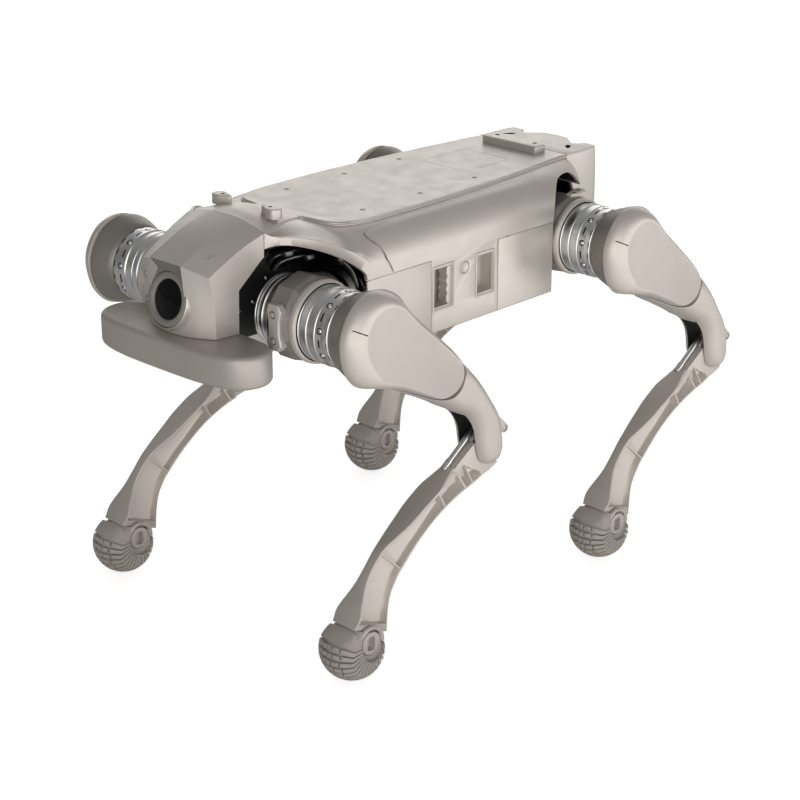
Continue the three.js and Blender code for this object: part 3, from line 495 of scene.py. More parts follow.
# ---- materials ----
class Nodes:
    """A material's node tree, with short calls for the nodes it uses."""

    def __init__(self, name):
        self.material = bpy.data.materials.new(name)
        self.material.use_nodes = True
        self.tree = self.material.node_tree
        self.shader = self.tree.nodes["Principled BSDF"]
        self.place = self.tree.nodes.new("ShaderNodeTexCoord").outputs["Object"]

    def add(self, kind, **values):
        node = self.tree.nodes.new(kind)
        for key, value in values.items():
            setattr(node, key, value)
        return node

    def link(self, source, target):
        self.tree.links.new(source, target)

    def noise(self, scale, detail, roughness=0.5):
        node = self.add("ShaderNodeTexNoise")
        node.inputs["Scale"].default_value = scale
        node.inputs["Detail"].default_value = detail
        node.inputs["Roughness"].default_value = roughness
        self.link(self.place, node.inputs["Vector"])
        return node.outputs["Fac"]

    def spread(self, value, low, high, start=0.3, end=0.7):
        """The value mapped onto a range."""
        node = self.add("ShaderNodeMapRange")
        for key, number in (("From Min", start), ("From Max", end), ("To Min", low), ("To Max", high)):
            node.inputs[key].default_value = number
        self.link(value, node.inputs["Value"])
        return node.outputs["Result"]

    def mixed(self, amount, first, second):
        """Two colours mixed by an amount; each colour is a tuple or a socket."""
        node = self.add("ShaderNodeMix", data_type="RGBA")
        self.link(amount, node.inputs["Factor"])
        for socket, colour in ((node.inputs[6], first), (node.inputs[7], second)):
            if isinstance(colour, tuple):
                socket.default_value = (*colour, 1)
            else:
                self.link(colour, socket)
        return node.outputs[2]

    def drift(self, scale, first, second, detail=3.0):
        """Two colours in slow patches."""
        return self.mixed(self.spread(self.noise(scale, detail), 0, 1), first, second)

    def edges(self, radius, amount):
        """The amount on rounded edges and 0 on flat faces."""
        bevel = self.add("ShaderNodeBevel", samples=4)
        bevel.inputs["Radius"].default_value = radius
        geometry = self.add("ShaderNodeNewGeometry")
        dot = self.add("ShaderNodeVectorMath", operation="DOT_PRODUCT")
        self.link(bevel.outputs["Normal"], dot.inputs[0])
        self.link(geometry.outputs["Normal"], dot.inputs[1])
        return self.spread(self.spread(dot.outputs["Value"], 1, 0, 0.9, 0.995), 0, amount, 0, 1)

    def bump(self, height, strength, distance):
        node = self.add("ShaderNodeBump")
        node.inputs["Strength"].default_value = strength
        node.inputs["Distance"].default_value = distance
        self.link(height, node.inputs["Height"])
        self.link(node.outputs["Normal"], self.shader.inputs["Normal"])

    def finished(self, colour, value, low, high, metal=0.0):
        """The material, with a colour, a value mapped onto its roughness and a share of metal."""
        self.link(colour, self.shader.inputs["Base Color"])
        self.link(self.spread(value, low, high), self.shader.inputs["Roughness"])
        self.shader.inputs["Metallic"].default_value = metal
        return self.material


def shade(colour, factor):
    """The colour made darker or paler."""
    return tuple(min(1.0, part * factor) for part in colour)


def satin_paint(name, colour, rough=0.40, metal=0.5):
    """Bead-blasted paint: fine grain, slow colour drift and paler edges, which are edge wear and painted
    highlight.
    """
    nodes = Nodes(name)
    grain = nodes.noise(1500, 2, 0.6)
    base = nodes.drift(9, shade(colour, 0.965), shade(colour, 1.03), 2)
    speck = nodes.spread(nodes.spread(grain, 0, 1), 0, 0.22, 0, 1)
    grainy = nodes.mixed(speck, base, shade(colour, 0.86))
    # paler rounded edges: edge wear, and painted highlight of the edge lines
    worn_and_highlit = nodes.mixed(nodes.edges(0.0007, 0.45), grainy, shade(colour, 1.12))
    nodes.bump(grain, 0.10, 0.0001)
    return nodes.finished(worn_and_highlit, nodes.noise(60, 3), rough - 0.05, rough + 0.05, metal)


def brushed_steel(name, colour, rough=0.28):
    """Turned metal with fine lines round its axis."""
    nodes = Nodes(name)
    split = nodes.add("ShaderNodeSeparateXYZ")
    nodes.link(nodes.place, split.inputs["Vector"])
    lines = nodes.add("ShaderNodeTexNoise", noise_dimensions="1D")
    lines.inputs["Scale"].default_value = 1800
    nodes.link(split.outputs["Y"], lines.inputs["W"])
    line = lines.outputs["Fac"]
    nodes.bump(line, 0.03, 0.00003)
    tone = nodes.mixed(nodes.spread(line, 0, 1), shade(colour, 0.96), colour)
    return nodes.finished(tone, line, rough - 0.02, rough + 0.03, 1.0)


def moulded(name, colour, rough, grain=900, metal=0.0):
    """Moulded plastic or rubber with a fine texture and paler edges, which are dust and painted highlight."""
    nodes = Nodes(name)
    tone = nodes.drift(35, shade(colour, 0.92), shade(colour, 1.06))
    # paler rounded edges: dust, and painted highlight
    dusty_and_highlit = nodes.mixed(nodes.edges(0.0008, 0.4), tone, shade(colour, 1.25))
    nodes.bump(nodes.noise(grain, 2, 0.6), 0.18, 0.00012)
    return nodes.finished(dusty_and_highlit, nodes.noise(120, 3), rough - 0.05, rough + 0.05, metal)


def chrome(name):
    nodes = Nodes(name)
    tone = nodes.drift(400, (0.72, 0.72, 0.72), (0.86, 0.86, 0.87), 2)
    return nodes.finished(tone, nodes.noise(700, 2), 0.08, 0.16, 1.0)


def dark_glass(name):
    """Almost black window with faint dust."""
    nodes = Nodes(name)
    nodes.shader.inputs["Specular IOR Level"].default_value = 0.12
    tone = nodes.drift(90, (0.0035, 0.0035, 0.004), (0.006, 0.006, 0.007))
    return nodes.finished(tone, nodes.noise(250, 3), 0.03, 0.07)


def circuit_board(name):
    nodes = Nodes(name)
    tracks = nodes.add("ShaderNodeTexBrick")
    for key, value in (("Scale", 90), ("Mortar Size", 0.01), ("Color1", (0.012, 0.07, 0.035, 1)),
                       ("Color2", (0.016, 0.09, 0.045, 1)), ("Mortar", (0.10, 0.09, 0.04, 1))):
        tracks.inputs[key].default_value = value
    nodes.link(nodes.place, tracks.inputs["Vector"])
    return nodes.finished(tracks.outputs["Color"], nodes.noise(200, 2), 0.35, 0.55)


M = {
    "shell": satin_paint("shell_paint", (0.56, 0.515, 0.475)),
    "cast": satin_paint("limb_paint", (0.55, 0.505, 0.465), 0.43, 0.45),
    # the shank's web: the limb paint made paler, painted light for the light its recess misses
    "web": satin_paint("web_paint_painted_light", (0.72, 0.665, 0.615), 0.45, 0.4),
    "flat": satin_paint("face_paint", (0.47, 0.425, 0.392), 0.47, 0.4),
    # taupe paint: the collars' and thigh cones' own colour, also used as painted shade in the nose pocket, on
    # the clip washers and in the shoulder strips
    "taupe": satin_paint("collar_paint_and_painted_shade", (0.255, 0.235, 0.212), 0.44, 0.5),
    "bumper": satin_paint("bumper_paint", (0.42, 0.385, 0.352), 0.45, 0.4),
    "steel": brushed_steel("motor_steel", (0.66, 0.67, 0.665)),
    "chrome": chrome("bolt_chrome"),
    "dark": moulded("bay_black_and_painted_shade", (0.016, 0.016, 0.017), 0.5, 700, 0.2),
    "gunmetal": brushed_steel("ring_gunmetal", (0.13, 0.13, 0.128), 0.3),
    "trim": moulded("bezel_plastic", (0.21, 0.195, 0.178), 0.42),
    "rubber": moulded("foot_rubber", (0.40, 0.365, 0.335), 0.48, 800),
    "glass": dark_glass("lens_glass"),
    "board": circuit_board("circuit_board"),
}


# ---- finished pieces ----
def finish_mesh(shape, name, looks, bevel, angle):
    """A placed mesh with rounded edges, smooth shading and its materials."""
    scaled = changed(shape, lambda point: point * MM)
    item = bpy.data.objects.new(name, mesh_of(scaled, name))
    bpy.context.scene.collection.objects.link(item)
    for look in looks:
        item.data.materials.append(M[look])
    weld = item.modifiers.new("weld", "WELD")
    weld.merge_threshold = 0.00002
    if bevel:
        edge = item.modifiers.new("edge", "BEVEL")
        edge.width = bevel * MM
        edge.segments = 2
        edge.limit_method = "ANGLE"
        edge.angle_limit = math.radians(angle)
        edge.use_clamp_overlap = True
        edge.miter_outer = "MITER_ARC"
    evaluated = item.evaluated_get(bpy.context.evaluated_depsgraph_get())
    mesh = bpy.data.meshes.new_from_object(evaluated)
    mesh.name = name
    bpy.data.objects.remove(item)
    mesh.shade_smooth()
    mesh.set_sharp_from_angle(angle=math.radians(angle))
    return mesh


def add_piece(mesh, name, body, place, replaced):
    """An object that rides on a body and stands for its CAD nodes."""
    item = bpy.data.objects.new(name, mesh)
    bpy.context.scene.collection.objects.link(item)
    item.location = place
    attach(item, body)
    if replaced:
        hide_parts(*replaced)
    return item


def trunk_piece(shape, name, looks, replaced=(), body="trunk", bevel=0.0, angle=32):
    mesh = finish_mesh(shape, name, looks, bevel, angle)
    return add_piece(mesh, name, body, (TRUNK_X, 0, 0), replaced)


def leg_pieces(shape, name, looks, body, node=None, ends=("front", "rear"), bevel=0.0, angle=32):
    """The same piece on both sides of the given ends, on the leg's own body or on the trunk."""
    for side, form in (("left", shape), ("right", mirrored(shape))):
        mesh = finish_mesh(form, f"{name}_{side}", looks, bevel, angle)
        for leg in [f"{end}_{side}" for end in ends]:
            replaced = (f"{leg}_{node}",) if node else ()
            place = (HIPS[leg].x, 0, HIPS[leg].z)
            ridden = body if body == "trunk" else f"{leg}_{body}"
            add_piece(mesh, f"{leg}_{name}", ridden, place, replaced)


# ---- leg pieces, for the left side, from the hip axis ----
def limb_crown(point):
    """Lifts the limb's outer side towards the flat face, then lets it fall to the knee."""
    along = -(point.x * LIMB_LEAN[0] + point.z * LIMB_LEAN[1])
    lift = steady(84, 104, along) * (1 - 0.98 * steady(112, 186, along))
    if point.y > CROWN_Y:
        point = Vector((point.x, CROWN_Y + (point.y - CROWN_Y) * (1 + 0.36 * lift), point.z))
    return point


def thigh_frame():
    """Cone, limb and fork in one casting."""
    outline = smooth(LIMB, 4)
    profile = [(143, 3.2), (144.2, 1.0), (146.5, 0), (160, 0), (166, 0.35), (170, 1.5), (173, 3.2),
               (175.4, 5.6), (177, 8.2), (177.8, 11)]
    limb = changed(loft([(at, inset(outline, d)) for at, d in profile], "xz"), limb_crown)
    cone = [(0, 143), (34, 143), (35, 143.8), (37.2, 148), (41.6, 160.5), (42.6, 164), (42.6, 166), (0, 166)]
    cone = dressed(turned(cone, "y", segments=96), 2)
    hollow_cup = dressed(turned([(0, 146.4), (33, 146.4), (39.5, 170), (0, 170)], "y"), 1)
    hollow_limb = dressed(prism(inset(smooth(LIMB, 2), 2.4), "xz", *FORK_Y), 1)
    under_cover = prism(inset(smooth(COVER, 4), -0.2), "xz", 165.6, 200)
    knee_room = dressed(rod(KNEE_ROOM, "y", FORK_Y, KNEE, 64), 1)
    axle = soft_rod(4.6, "y", (FORK_Y[0] - 1, FORK_Y[1] + 1), KNEE)
    shell = cut(fused(limb, cone), under_cover, hollow_cup, hollow_limb, knee_room)
    return joined(shell, axle)


def cover_ring(turn, shrink=0.0):
    """The dome's outline at an angle from 0 at its base to 90 degrees at its flat face."""
    t = 1 - math.cos(turn)
    return inset([a.lerp(b, t) for a, b in zip(smooth(COVER, 6), smooth(COVER_FACE, 6))], shrink)


def thigh_cover():
    """Hollow dome with a flat teardrop face and a thin slit on its shoulder."""
    steps = 14
    turns = [math.pi / 2 * k / steps for k in range(steps + 1)]
    foot, rise, wall = 166.3, 16.2, 2.6
    outer = [(foot, cover_ring(0, 0.5)), (foot + 0.5, cover_ring(0))]
    outer = loft(outer + [(foot + rise * math.sin(turn), cover_ring(turn)) for turn in turns[1:]], "xz")
    outer.looks[-1] = 1
    inner = [(160, cover_ring(0, wall))]
    inner += [(163.5 + 16.0 * math.sin(turn), cover_ring(turn, wall)) for turn in turns[2:steps - 1:2]]
    slit = turned_by(box((28.5, 41.5), (171, 200), (-0.5, 0.5)), -27, "Y")
    return cut(outer, dressed(loft(inner, "xz"), 2), dressed(slit, 2))


def shank_station(place):
    """Front x, z, rear x, z, front half width and rear half width at a place along the shank."""
    return [along_table([(k, row[column]) for k, row in enumerate(SHANK)], place) for column in range(6)]


def shank_section(place):
    """Cross-section with a front and a rear flange edge of their own widths."""
    fx, fz, rx, rz, half, back = shank_station(place)
    front, rear = Vector((fx, fz)), Vector((rx, rz))
    across = (rear - front).normalized()
    depth = (rear - front).length
    outline = [(0, half - 1.2), (0.35, half - 0.35), (1.2, half), (depth * 0.5, (half + back) / 2),
               (depth - 0.3, back), (depth, back - 0.3)]
    outline += [(u, -v) for u, v in reversed(outline)]
    return [(front.x + across.x * u, LEG_Y + v, front.y + across.y * u) for u, v in outline]


def shank_pocket(start, end, side):
    """Room cut in the shank's side down to its web, between a pocket's two ends."""
    rings, steps = [], 12
    for k in range(steps + 1):
        front_place, rear_place, wall = [a + (b - a) * k / steps for a, b in zip(start, end)]
        front_row, rear_row = shank_station(front_place), shank_station(rear_place)
        front, rear = Vector(front_row[0:2]), Vector(rear_row[2:4])
        half, back = front_row[4], rear_row[5]
        depth = (rear - front).length
        foot = min(depth - 1.6, depth - along_table(WALL_FOOT, rear_place))
        web = along_table(WEB, rear_place)
        outside = max(half, back) + 6
        levels = [(wall, outside), (wall, half - 0.5), (min(wall + 1.2, foot - 0.4), web), (foot, web),
                  (depth - LIP, back - 0.5), (depth - LIP, outside)]
        rings.append([(at.x, LEG_Y + side * level, at.y) for at, level in
                      ((front.lerp(rear, u / depth), level) for u, level in levels)])
    pocket = skin(rings)
    # faces of the web take the paler paint, which is painted light
    for index, face in enumerate(pocket.faces):
        if len(face) == 4 and all(abs(pocket.points[k].y - LEG_Y) < WEB_REACH for k in face):
            pocket.looks[index] = 1
    return pocket


def both_ends(low, high):
    """The same span across Y on both sides of the leg's middle plane."""
    return (LEG_Y + low, LEG_Y + high), (LEG_Y - high, LEG_Y - low)


def shank():
    """Curved I-section leg with slanted ribs, a knee head, a lever and the hub in the foot."""
    last, count = len(SHANK) - 1, 70
    body = skin([shank_section(last * k / count) for k in range(count + 1)])
    pockets = [shank_pocket(start, end, side) for start, end in SHANK_POCKETS for side in (1, -1)]
    outside_head = rod(HEAD_RADIUS, "y", (HEAD_Y[1], LEG_SPAN[1]), KNEE, 48)
    keep = prism([KNEE + Vector(step) for step in ((-45, -25), (60, 75), (-60, 75))], "xz", *LEG_SPAN)
    inside = rod(HEAD_RADIUS, "y", (LEG_SPAN[0], HEAD_Y[0]), KNEE, 48)
    body = cut(body, *pockets, common(outside_head, keep), inside)
    head = soft_rod(15, "y", HEAD_Y, KNEE, 0.8, 48)
    cheek = [KNEE + Vector((-14, 6)), KNEE + Vector((14, 6)), (-112, -139), (-132, -166), (-158, -160)]
    cheek = soft_prism(rounded(cheek, 3), "xz", *HEAD_Y, 0.6, 0.6, 2)
    far = KNEE + Vector(LEVER)
    lever = link(KNEE, far, 6, HEAD_Y)
    pin = soft_rod(2.2, "y", (HEAD_Y[1] - 1, ROD_Y[1] - 0.4), far, 0.3)
    hub = soft_rod(11, "y", (LEG_Y - 17.5, LEG_Y + 17.5), HUB, 0.7, 48)
    stem = link((16, -272), HUB, 9.5, (LEG_Y - 5, LEG_Y + 5))
    body = fused(body, head, cheek, lever, pin, hub, stem, arch_ridge())
    corners = ((-4.4, -7.4), (4.8, -6.2), (4.8, 5.8), (-4.4, 7.4))
    slot = rounded([(HUB[0] + u, HUB[1] + v) for u, v in corners], 3.4)
    slots = [prism(slot, "xz", *span) for span in both_ends(11, 30)]
    axle_hole = rod(5.1, "y", LEG_SPAN, KNEE)
    tie_room = prism([(-102.2, -151.9), (-140, -128.2), (-135, -112), (-92, -112), (-87.1, -144.1)], "xz",
                     *LEG_SPAN)
    return cut(body, axle_hole, tie_room, *slots, rod(3.1, "y", (HEAD_Y[0] - 1, HEAD_Y[0] + 3), far))


def arch_ridge():
    """Raised arch that runs over the hub on both sides of the ankle."""
    arcs = []
    for side in (1, -1):
        path = []
        for k in range(15):
            turn = math.radians(-8 + 196 * k / 14)
            path.append((HUB[0] + 15 * math.cos(turn), LEG_Y + side * 15.8, HUB[1] + 15 * math.sin(turn)))
        arcs.append(tube_along(path, 2.1, 10))
    return joined(*arcs)


def foot_patch(latitudes, turns, inner, outer, taper, rows=3):
    """A block on the ball between two latitudes and two turns about the foot's axis."""
    grid, points, faces = {}, [], []
    last = rows - 1
    for level, (radius, shrink) in enumerate(((inner, 0.0), (outer, taper))):
        for i in range(rows):
            for j in range(rows):
                lat, turn = [math.radians(low + shrink + (high - low - 2 * shrink) * step / last)
                             for (low, high), step in ((latitudes, i), (turns, j))]
                grid[level, i, j] = len(points)
                points.append((BALL[0] + radius * math.cos(lat) * math.cos(turn),
                               LEG_Y + radius * math.sin(lat),
                               BALL[1] + radius * math.cos(lat) * math.sin(turn)))
    for i in range(last):
        for j in range(last):
            for level in (0, 1):
                faces.append((grid[level, i, j], grid[level, i + 1, j], grid[level, i + 1, j + 1],
                              grid[level, i, j + 1]))
        for edge in (0, last):
            faces.append((grid[0, i, edge], grid[0, i + 1, edge], grid[1, i + 1, edge], grid[1, i, edge]))
            faces.append((grid[0, edge, i], grid[0, edge, i + 1], grid[1, edge, i + 1], grid[1, edge, i]))
    return Shape(points, faces)


def foot_bar(turn, width, side, start):
    """A long tread bar that runs from a latitude of the ball down its side and on towards the hub."""
    radius, sink = BALL_R - 0.1, 3.4
    path = [(start + (TREAD_EDGE - start) * k / 4, 0.0) for k in range(5)]
    path += [(TREAD_EDGE, 0.13 * k) for k in range(1, 5)]
    rings = []
    for latitude, inward in path:
        lat = math.radians(latitude)
        ring = []
        for deep, way in ((0, -1), (0, 1), (sink, 1), (sink, -1)):
            here = math.radians(turn + way * width / 2)
            reach = (radius if inward else radius - deep) * math.cos(lat)
            x, z = BALL[0] + reach * math.cos(here), BALL[1] + reach * math.sin(here)
            y = radius * math.sin(lat) - deep if inward else (radius - deep) * math.sin(lat)
            ring.append((x + (HUB[0] - x) * inward, LEG_Y + side * y, z + (HUB[1] - z) * inward))
        rings.append(ring)
    return skin(rings)


def foot():
    """Round rubber foot with small blocks along its middle and long bars down its sides."""
    core, edge_y, across = 26.6, 20.4, (100, 220)
    profile = [(math.sqrt(core ** 2 - (edge_y * t) ** 2), LEG_Y + edge_y * t)
               for t in (-1, -0.85, -0.7, -0.5, -0.25, 0, 0.25, 0.5, 0.7, 0.85, 1)]
    base = turned([(0, LEG_Y - edge_y), *profile, (0, LEG_Y + edge_y)], "y", BALL, 64)
    collar = foot_patch((-44, 44), (30, 64), 20, 29.9, 1.5, 11)
    heel = foot_patch((-44, 44), (120, 162), 20, 29.6, 1.5, 11)
    above = prism([(80, -275.8), (54.4, -275.8), (36.7, -262.4), (-6, -280.3), (-40, -290), (-40, -230),
                   (80, -230)], "xz", *across)
    slope = ((14.6, -262.4), (22, -279), (45, -279), (45, -240), (14.6, -240))
    beside = [prism([(LEG_Y + way * y, z) for y, z in slope], "yz", -40, 90) for way in (1, -1)]
    ankle = fused(above, *beside)
    hub_room = rod(11.6, "y", across, HUB, 40)
    recess, tread_recess = [[rod(RECESS_RADIUS, "y", span, HUB, 48) for span in both_ends(deep, 40)]
                            for deep in (16.8, 10)]
    stem = link((12, -262), HUB, 10.5, (LEG_Y - 5.4, LEG_Y + 5.4))
    blocks = []
    for k in range(TREAD_ROWS):
        turn = 25 - TREAD_PITCH * k
        offset = 1.5 if k % 2 else -1.5
        for low, high in ((-22.5, -6.8), (-4.4, 4.4), (6.8, 22.5)):
            blocks.append(foot_patch((low + offset, high + offset), (turn - 9.6, turn), 25, 29.9, 0.9))
        blocks += [foot_bar(turn - 4.8, 9.2, side, 25.5 + side * offset) for side in (1, -1)]
    body = cut(fused(base, collar, heel), ankle, hub_room, stem, *recess)
    return joined(body, cut(joined(*blocks), *tread_recess, ankle))


def push_rod():
    """Bar with an eye at each end, parallel to the thigh."""
    far = KNEE + Vector(LEVER)
    return cut(link(LEVER, far, 4.5, ROD_Y, 12), *[rod(2.9, "y", LEG_SPAN, at) for at in (LEVER, far)])


def knee_strut():
    """Polished tie on the front of the shank's head."""
    start, end = Vector((-95.2, 158, -153)), Vector((-135, 158, -125.4))
    bar = tube_along([start.lerp(end, k / 8) for k in range(9)], 2.7, 20)
    sleeve = tube_along([start.lerp(end, 0.02 + 0.2 * k / 4) for k in range(5)], 3.3, 20)
    return joined(bar, sleeve)


def hip_motor():
    """Turned drum with raised rings, bolt recesses and slots; every cut takes the dark finish, as painted
    shadow round the bolts and painted shade in the grooves and slots.
    """
    profile = [(0, 48), (31.5, 48), (33, 49.2), (33, 51), (32.2, 51.4), (32.2, 53), (33.4, 53.4),
               (33.4, 54.4), (32.4, 54.8), (32.4, 58.5), (33.6, 59), (33.6, 60), (32.8, 60.5), (32.8, 63),
               (34.2, 64), (34.2, 106), (33.6, 106.4), (33.6, 108.4), (34.5, 109), (34.5, 115), (35.0, 115.4),
               (35.0, 116.3), (34.3, 116.8), (34.0, 119), (34.0, 124.6), (34.4, 125.2), (35.1, 125.6),
               (35.1, 126.7), (34.5, 127.2), (34.5, 141.4), (33.8, 142), (33, 142.6), (0, 142.6)]
    drum = turned(profile, "y", segments=128)
    tools = [turned([(33.9, y), (37, y - 0.3), (37, y + 0.3)], "y", segments=128) for y in (118.2, 134.9)]
    for turn in BOLT_TURNS:
        marks = [(rod(3.1, "x", (33.1, 40), (BOLT_Y, 0), 24), 0)]
        marks += [(box((33.2, 40), (130.8, 132.7), (-3.8, 3.8)), 20)]
        marks += [(box((33.4, 40), (140.2, 141.3), (-2.6, 2.6)), lean) for lean in (0, 20)]
        tools += [turned_by(mark, -(turn + lean), "Y") for mark, lean in marks]
    # every cut takes the dark finish: painted shade
    return cut(drum, *[dressed(tool, 1) for tool in tools])


def motor_bolts():
    """Round-headed bolts of the drum."""
    return joined(*[turned_by(ball(2.35, (33.6, BOLT_Y, 0), 0.62, "x"), -turn, "Y") for turn in BOLT_TURNS])


def hip_bracket(inboard):
    """Faceted collar that carries the motor and bolts to the roll motor."""
    corners = 10
    reach = 37.9 / math.cos(math.pi / corners)
    flat = [(reach * math.cos(turn), reach * math.sin(turn))
            for turn in [2 * math.pi * (k + 0.5) / corners for k in range(corners)]]
    rings = [(65.6, 6.2), (71.5, 0.2), (72, 0), (90.6, 0), (91.4, 0.4), (96.4, 3.6)]
    collar = loft([(at, inset(flat, d) if d else flat) for at, d in rings], "xz")
    rim = turned([(0, 95), (35.6, 95), (36.4, 96.4), (37.4, 98.2), (38, 100.4), (37.8, 102.8), (36.9, 104.5),
                  (35.6, 105.2), (0, 105.2)], "y", segments=96)
    flange = soft_rod(26, "x", sorted((40 * inboard, 45 * inboard)), (ROLL_AXIS_Y, 0), 0.6, 48)
    neck = soft_box(sorted((34 * inboard, 42 * inboard)), (68, 86), (-20, 20), 1.2)
    bore = dressed(rod(35.3, "y", (0, 200), (0, 0), 96), 2)
    return cut(fused(collar, dressed(rim, 1), flange, neck), bore)


def bracket_clip():
    """Waisted clip with two washers and bolt heads, lying on the collar's +X side; the washers are painted
    dark as the shade of bolt wells.
    """
    outline = rounded([(77, -21), (89, -21), (93, -16), (90.4, -6), (90.4, 6), (93, 16), (89, 21), (77, 21),
                       (74.6, 14), (76.4, 5), (76.4, -5), (74.6, -14)], 1.4)
    bolts = []
    for at in ((83.6, -12), (83.6, 12)):
        shaded_washer = turned([(0, 41), (3.9, 41), (3.9, 42.1), (3.5, 42.4), (3.0, 42.4), (2.9, 42.1), (0, 42.1)],
                        "x", at, 28)
        # the washers take the taupe paint: painted shade of a bolt well
        bolts += [dressed(shaded_washer, 1), soft_rod(2.3, "x", (41.6, 43.1), at, 0.6, 24)]
    rings = [(34.8, outline), (40.6, outline), (41.6, inset(outline, 0.8)), (41.9, inset(outline, 1.6))]
    return joined(loft(rings, "yz"), *bolts)


def rear_clip():
    """Bracket tab with two small square holes, lying on top of the rear collar."""
    outline = [(-22, 80), (-15, 80.5), (-6, 83), (3, 86), (2, 92.6), (-9, 94), (-20, 93), (-24, 87)]
    plate = soft_prism(rounded(outline, 1.6), "xy", 36.4, 41, 0.3, 1.0, 3)
    half = 1.7
    holes = [dressed(box((x - half, x + half), (y - half, y + half), (38, 60)), 1)
             for x, y in ((-16, 87), (-6, 89))]
    return cut(plate, *holes)


def roll_motor(inboard):
    """Drum in the trunk that rolls the leg, with a stepped cap."""
    profile = [(0, 95), (25, 95), (27, 94.4), (31.6, 91), (33, 89), (33, 84), (32.4, 83.6), (32.4, 81.8),
               (33, 81.4), (33, 62), (32.3, 61.5), (32.3, 59.6), (33, 59.2), (33, 52), (30, 48), (20, 48),
               (20, 45.4), (0, 45.4)]
    return turned([(r, h * inboard) for r, h in profile], "x", (ROLL_AXIS_Y, 0), 72)


def build_legs():
    leg_pieces(thigh_frame(), "thigh_casting", ("cast", "dark", "taupe"), "thigh", "thigh_frame",
               angle=38)
    leg_pieces(thigh_cover(), "thigh_dome", ("cast", "flat", "dark"), "thigh", "thigh_cover",
               angle=50)
    leg_pieces(shank(), "shank_casting", ("cast", "web"), "shin", "shank", bevel=0.25, angle=34)
    leg_pieces(foot(), "foot_tread", ("rubber",), "shin", "foot", bevel=0.3, angle=40)
    leg_pieces(push_rod(), "rod_bar", ("cast",), "rod", "push_rod")
    leg_pieces(knee_strut(), "knee_tie", ("steel",), "shin")
    leg_pieces(hip_motor(), "motor_drum", ("steel", "dark"), "hip", "hip_motor", bevel=0.12,
               angle=30)
    leg_pieces(motor_bolts(), "motor_bolts", ("chrome",), "hip")
    for end, inboard in (("front", -1), ("rear", 1)):
        leg_pieces(hip_bracket(inboard), "hip_collar", ("taupe", "cast", "dark"), "hip",
                   "hip_bracket", (end,), bevel=0.7, angle=14)
        leg_pieces(roll_motor(inboard), "roll_drum", ("gunmetal",), "trunk", "roll_motor",
                   (end,))
    leg_pieces(bracket_clip(), "collar_clip", ("cast", "taupe"), "hip", None, ("front",))
    leg_pieces(rear_clip(), "collar_tab", ("cast", "dark"), "hip", None, ("rear",), bevel=0.3)


# ---- trunk pieces ----


def roof_point(x, t, lift=0.0):
    """A point on the left shoulder: t is 0 at its foot and 1 at the deck; lift moves it outwards."""
    tables = (ROOF_HALF, ROOF_INNER, SHOULDER_Z, ROOF_CROWN)
    half, inner, foot, crown = [along_table(table, x) for table in tables]
    ellipse = Vector((inner + (half - inner) * math.cos(t * math.pi / 2),
                      foot + (crown - foot) * math.sin(t * math.pi / 2)))
    dip = 4.4 * steady(138, 182, x) * math.sin(math.pi * t)
    chord = Vector((half + (inner - half) * t, foot + (crown - foot) * t - dip))
    here = ellipse.lerp(chord, steady(116, 156, x))
    if lift:
        turn = t * math.pi / 2
        outward = Vector((math.cos(turn) / max(half - inner, 1), math.sin(turn) / max(crown - foot, 1)))
        here += outward.normalized() * lift
    return (x, here.x, here.y)


def roof_shell(shrink, rear, front):
    """The rounded roof between two places on X; shrink moves it inwards for the hollow."""
    places = [rear + (SHOULDER_X - rear) * k / 40 for k in range(40)]
    places += [SHOULDER_X + (front - SHOULDER_X) * k / 56 for k in range(57)]
    rings = []
    for x in places:
        ring = [(x, along_table(ROOF_HALF, x) - shrink, PARTING_Z - shrink * 8)]
        for k in range(15):
            _, y, z = roof_point(x, k / 14)
            ring.append((x, y - shrink, z - shrink))
        rings.append(ring + [(px, -py, pz) for px, py, pz in reversed(ring)])
    return skin(rings)


def arch_band(side):
    """Raised rim over the front arch, from the flank to the head."""
    low, high = smooth(FRONT_ARCH[1:], 8, False), smooth(BAND_TOP, 7, False)
    count = 60
    rings = []
    for k in range(count + 1):
        a, b = [line[round(k / count * (len(line) - 1))] for line in (low, high)]
        ring = []
        for share, rise in ((0, -2.4), (0, 0.5), (0.06, 1.0), (0.94, 1.0), (1, 0.4), (1, -3)):
            place = a.lerp(b, share)
            x = min(place.x, COVER_X)
            if rise > 0:
                rise *= 1 - 0.9 * steady(182, 193, x)
            ring.append((x, side * (along_table(ROOF_HALF, x) + rise), place.y))
        rings.append(ring)
    return skin(rings)


def top_cover():
    """Rounded roof with four arches, raised rims over the front two and a step line on the flanks."""
    outer = roof_shell(0, -207, COVER_X)
    hollow = dressed(roof_shell(WALL, -204, 190), 1)
    ends = [box((-215, -203), (-50, 50), (300, 375)), box((188, 200), (-44, 44), (300, 380))]
    door_room = box((DOOR_X[0] - 0.4, DOOR_X[1] + 0.4), (96, 110), (300, DOOR_Z[1] + 0.4))
    arches = [prism(smooth(arch, 6, False) + [Vector((x, top)), Vector((x, 330))], "xz", -150, 150)
              for arch, x, top in ((FRONT_ARCH, 210, 376), (REAR_ARCH, -225, 354))]
    under_head = box((128, 200), (-20, 20), (370, 400))
    step_line = smooth([(-60, 347.6), (-63.5, 346.4), (-66.5, 343.4), (-71, 340.6), (-75, 340.2)], 4, False)
    half = Vector((-0.3, 0.6))
    step = [point + half for point in step_line] + [point - half for point in reversed(step_line)]
    steps = [prism(step, "xz", *span) for span in ((98.4, 110), (-110, -98.4))]
    body = fused(outer, arch_band(1), arch_band(-1))
    return cut(body, hollow, *[dressed(end, 1) for end in ends], door_room, *arches, under_head, *steps)


def wing_top(x):
    """How far up the shoulder the raised panel reaches."""
    return 0.80 - 0.10 * steady(60, SHOULDER_X, x)


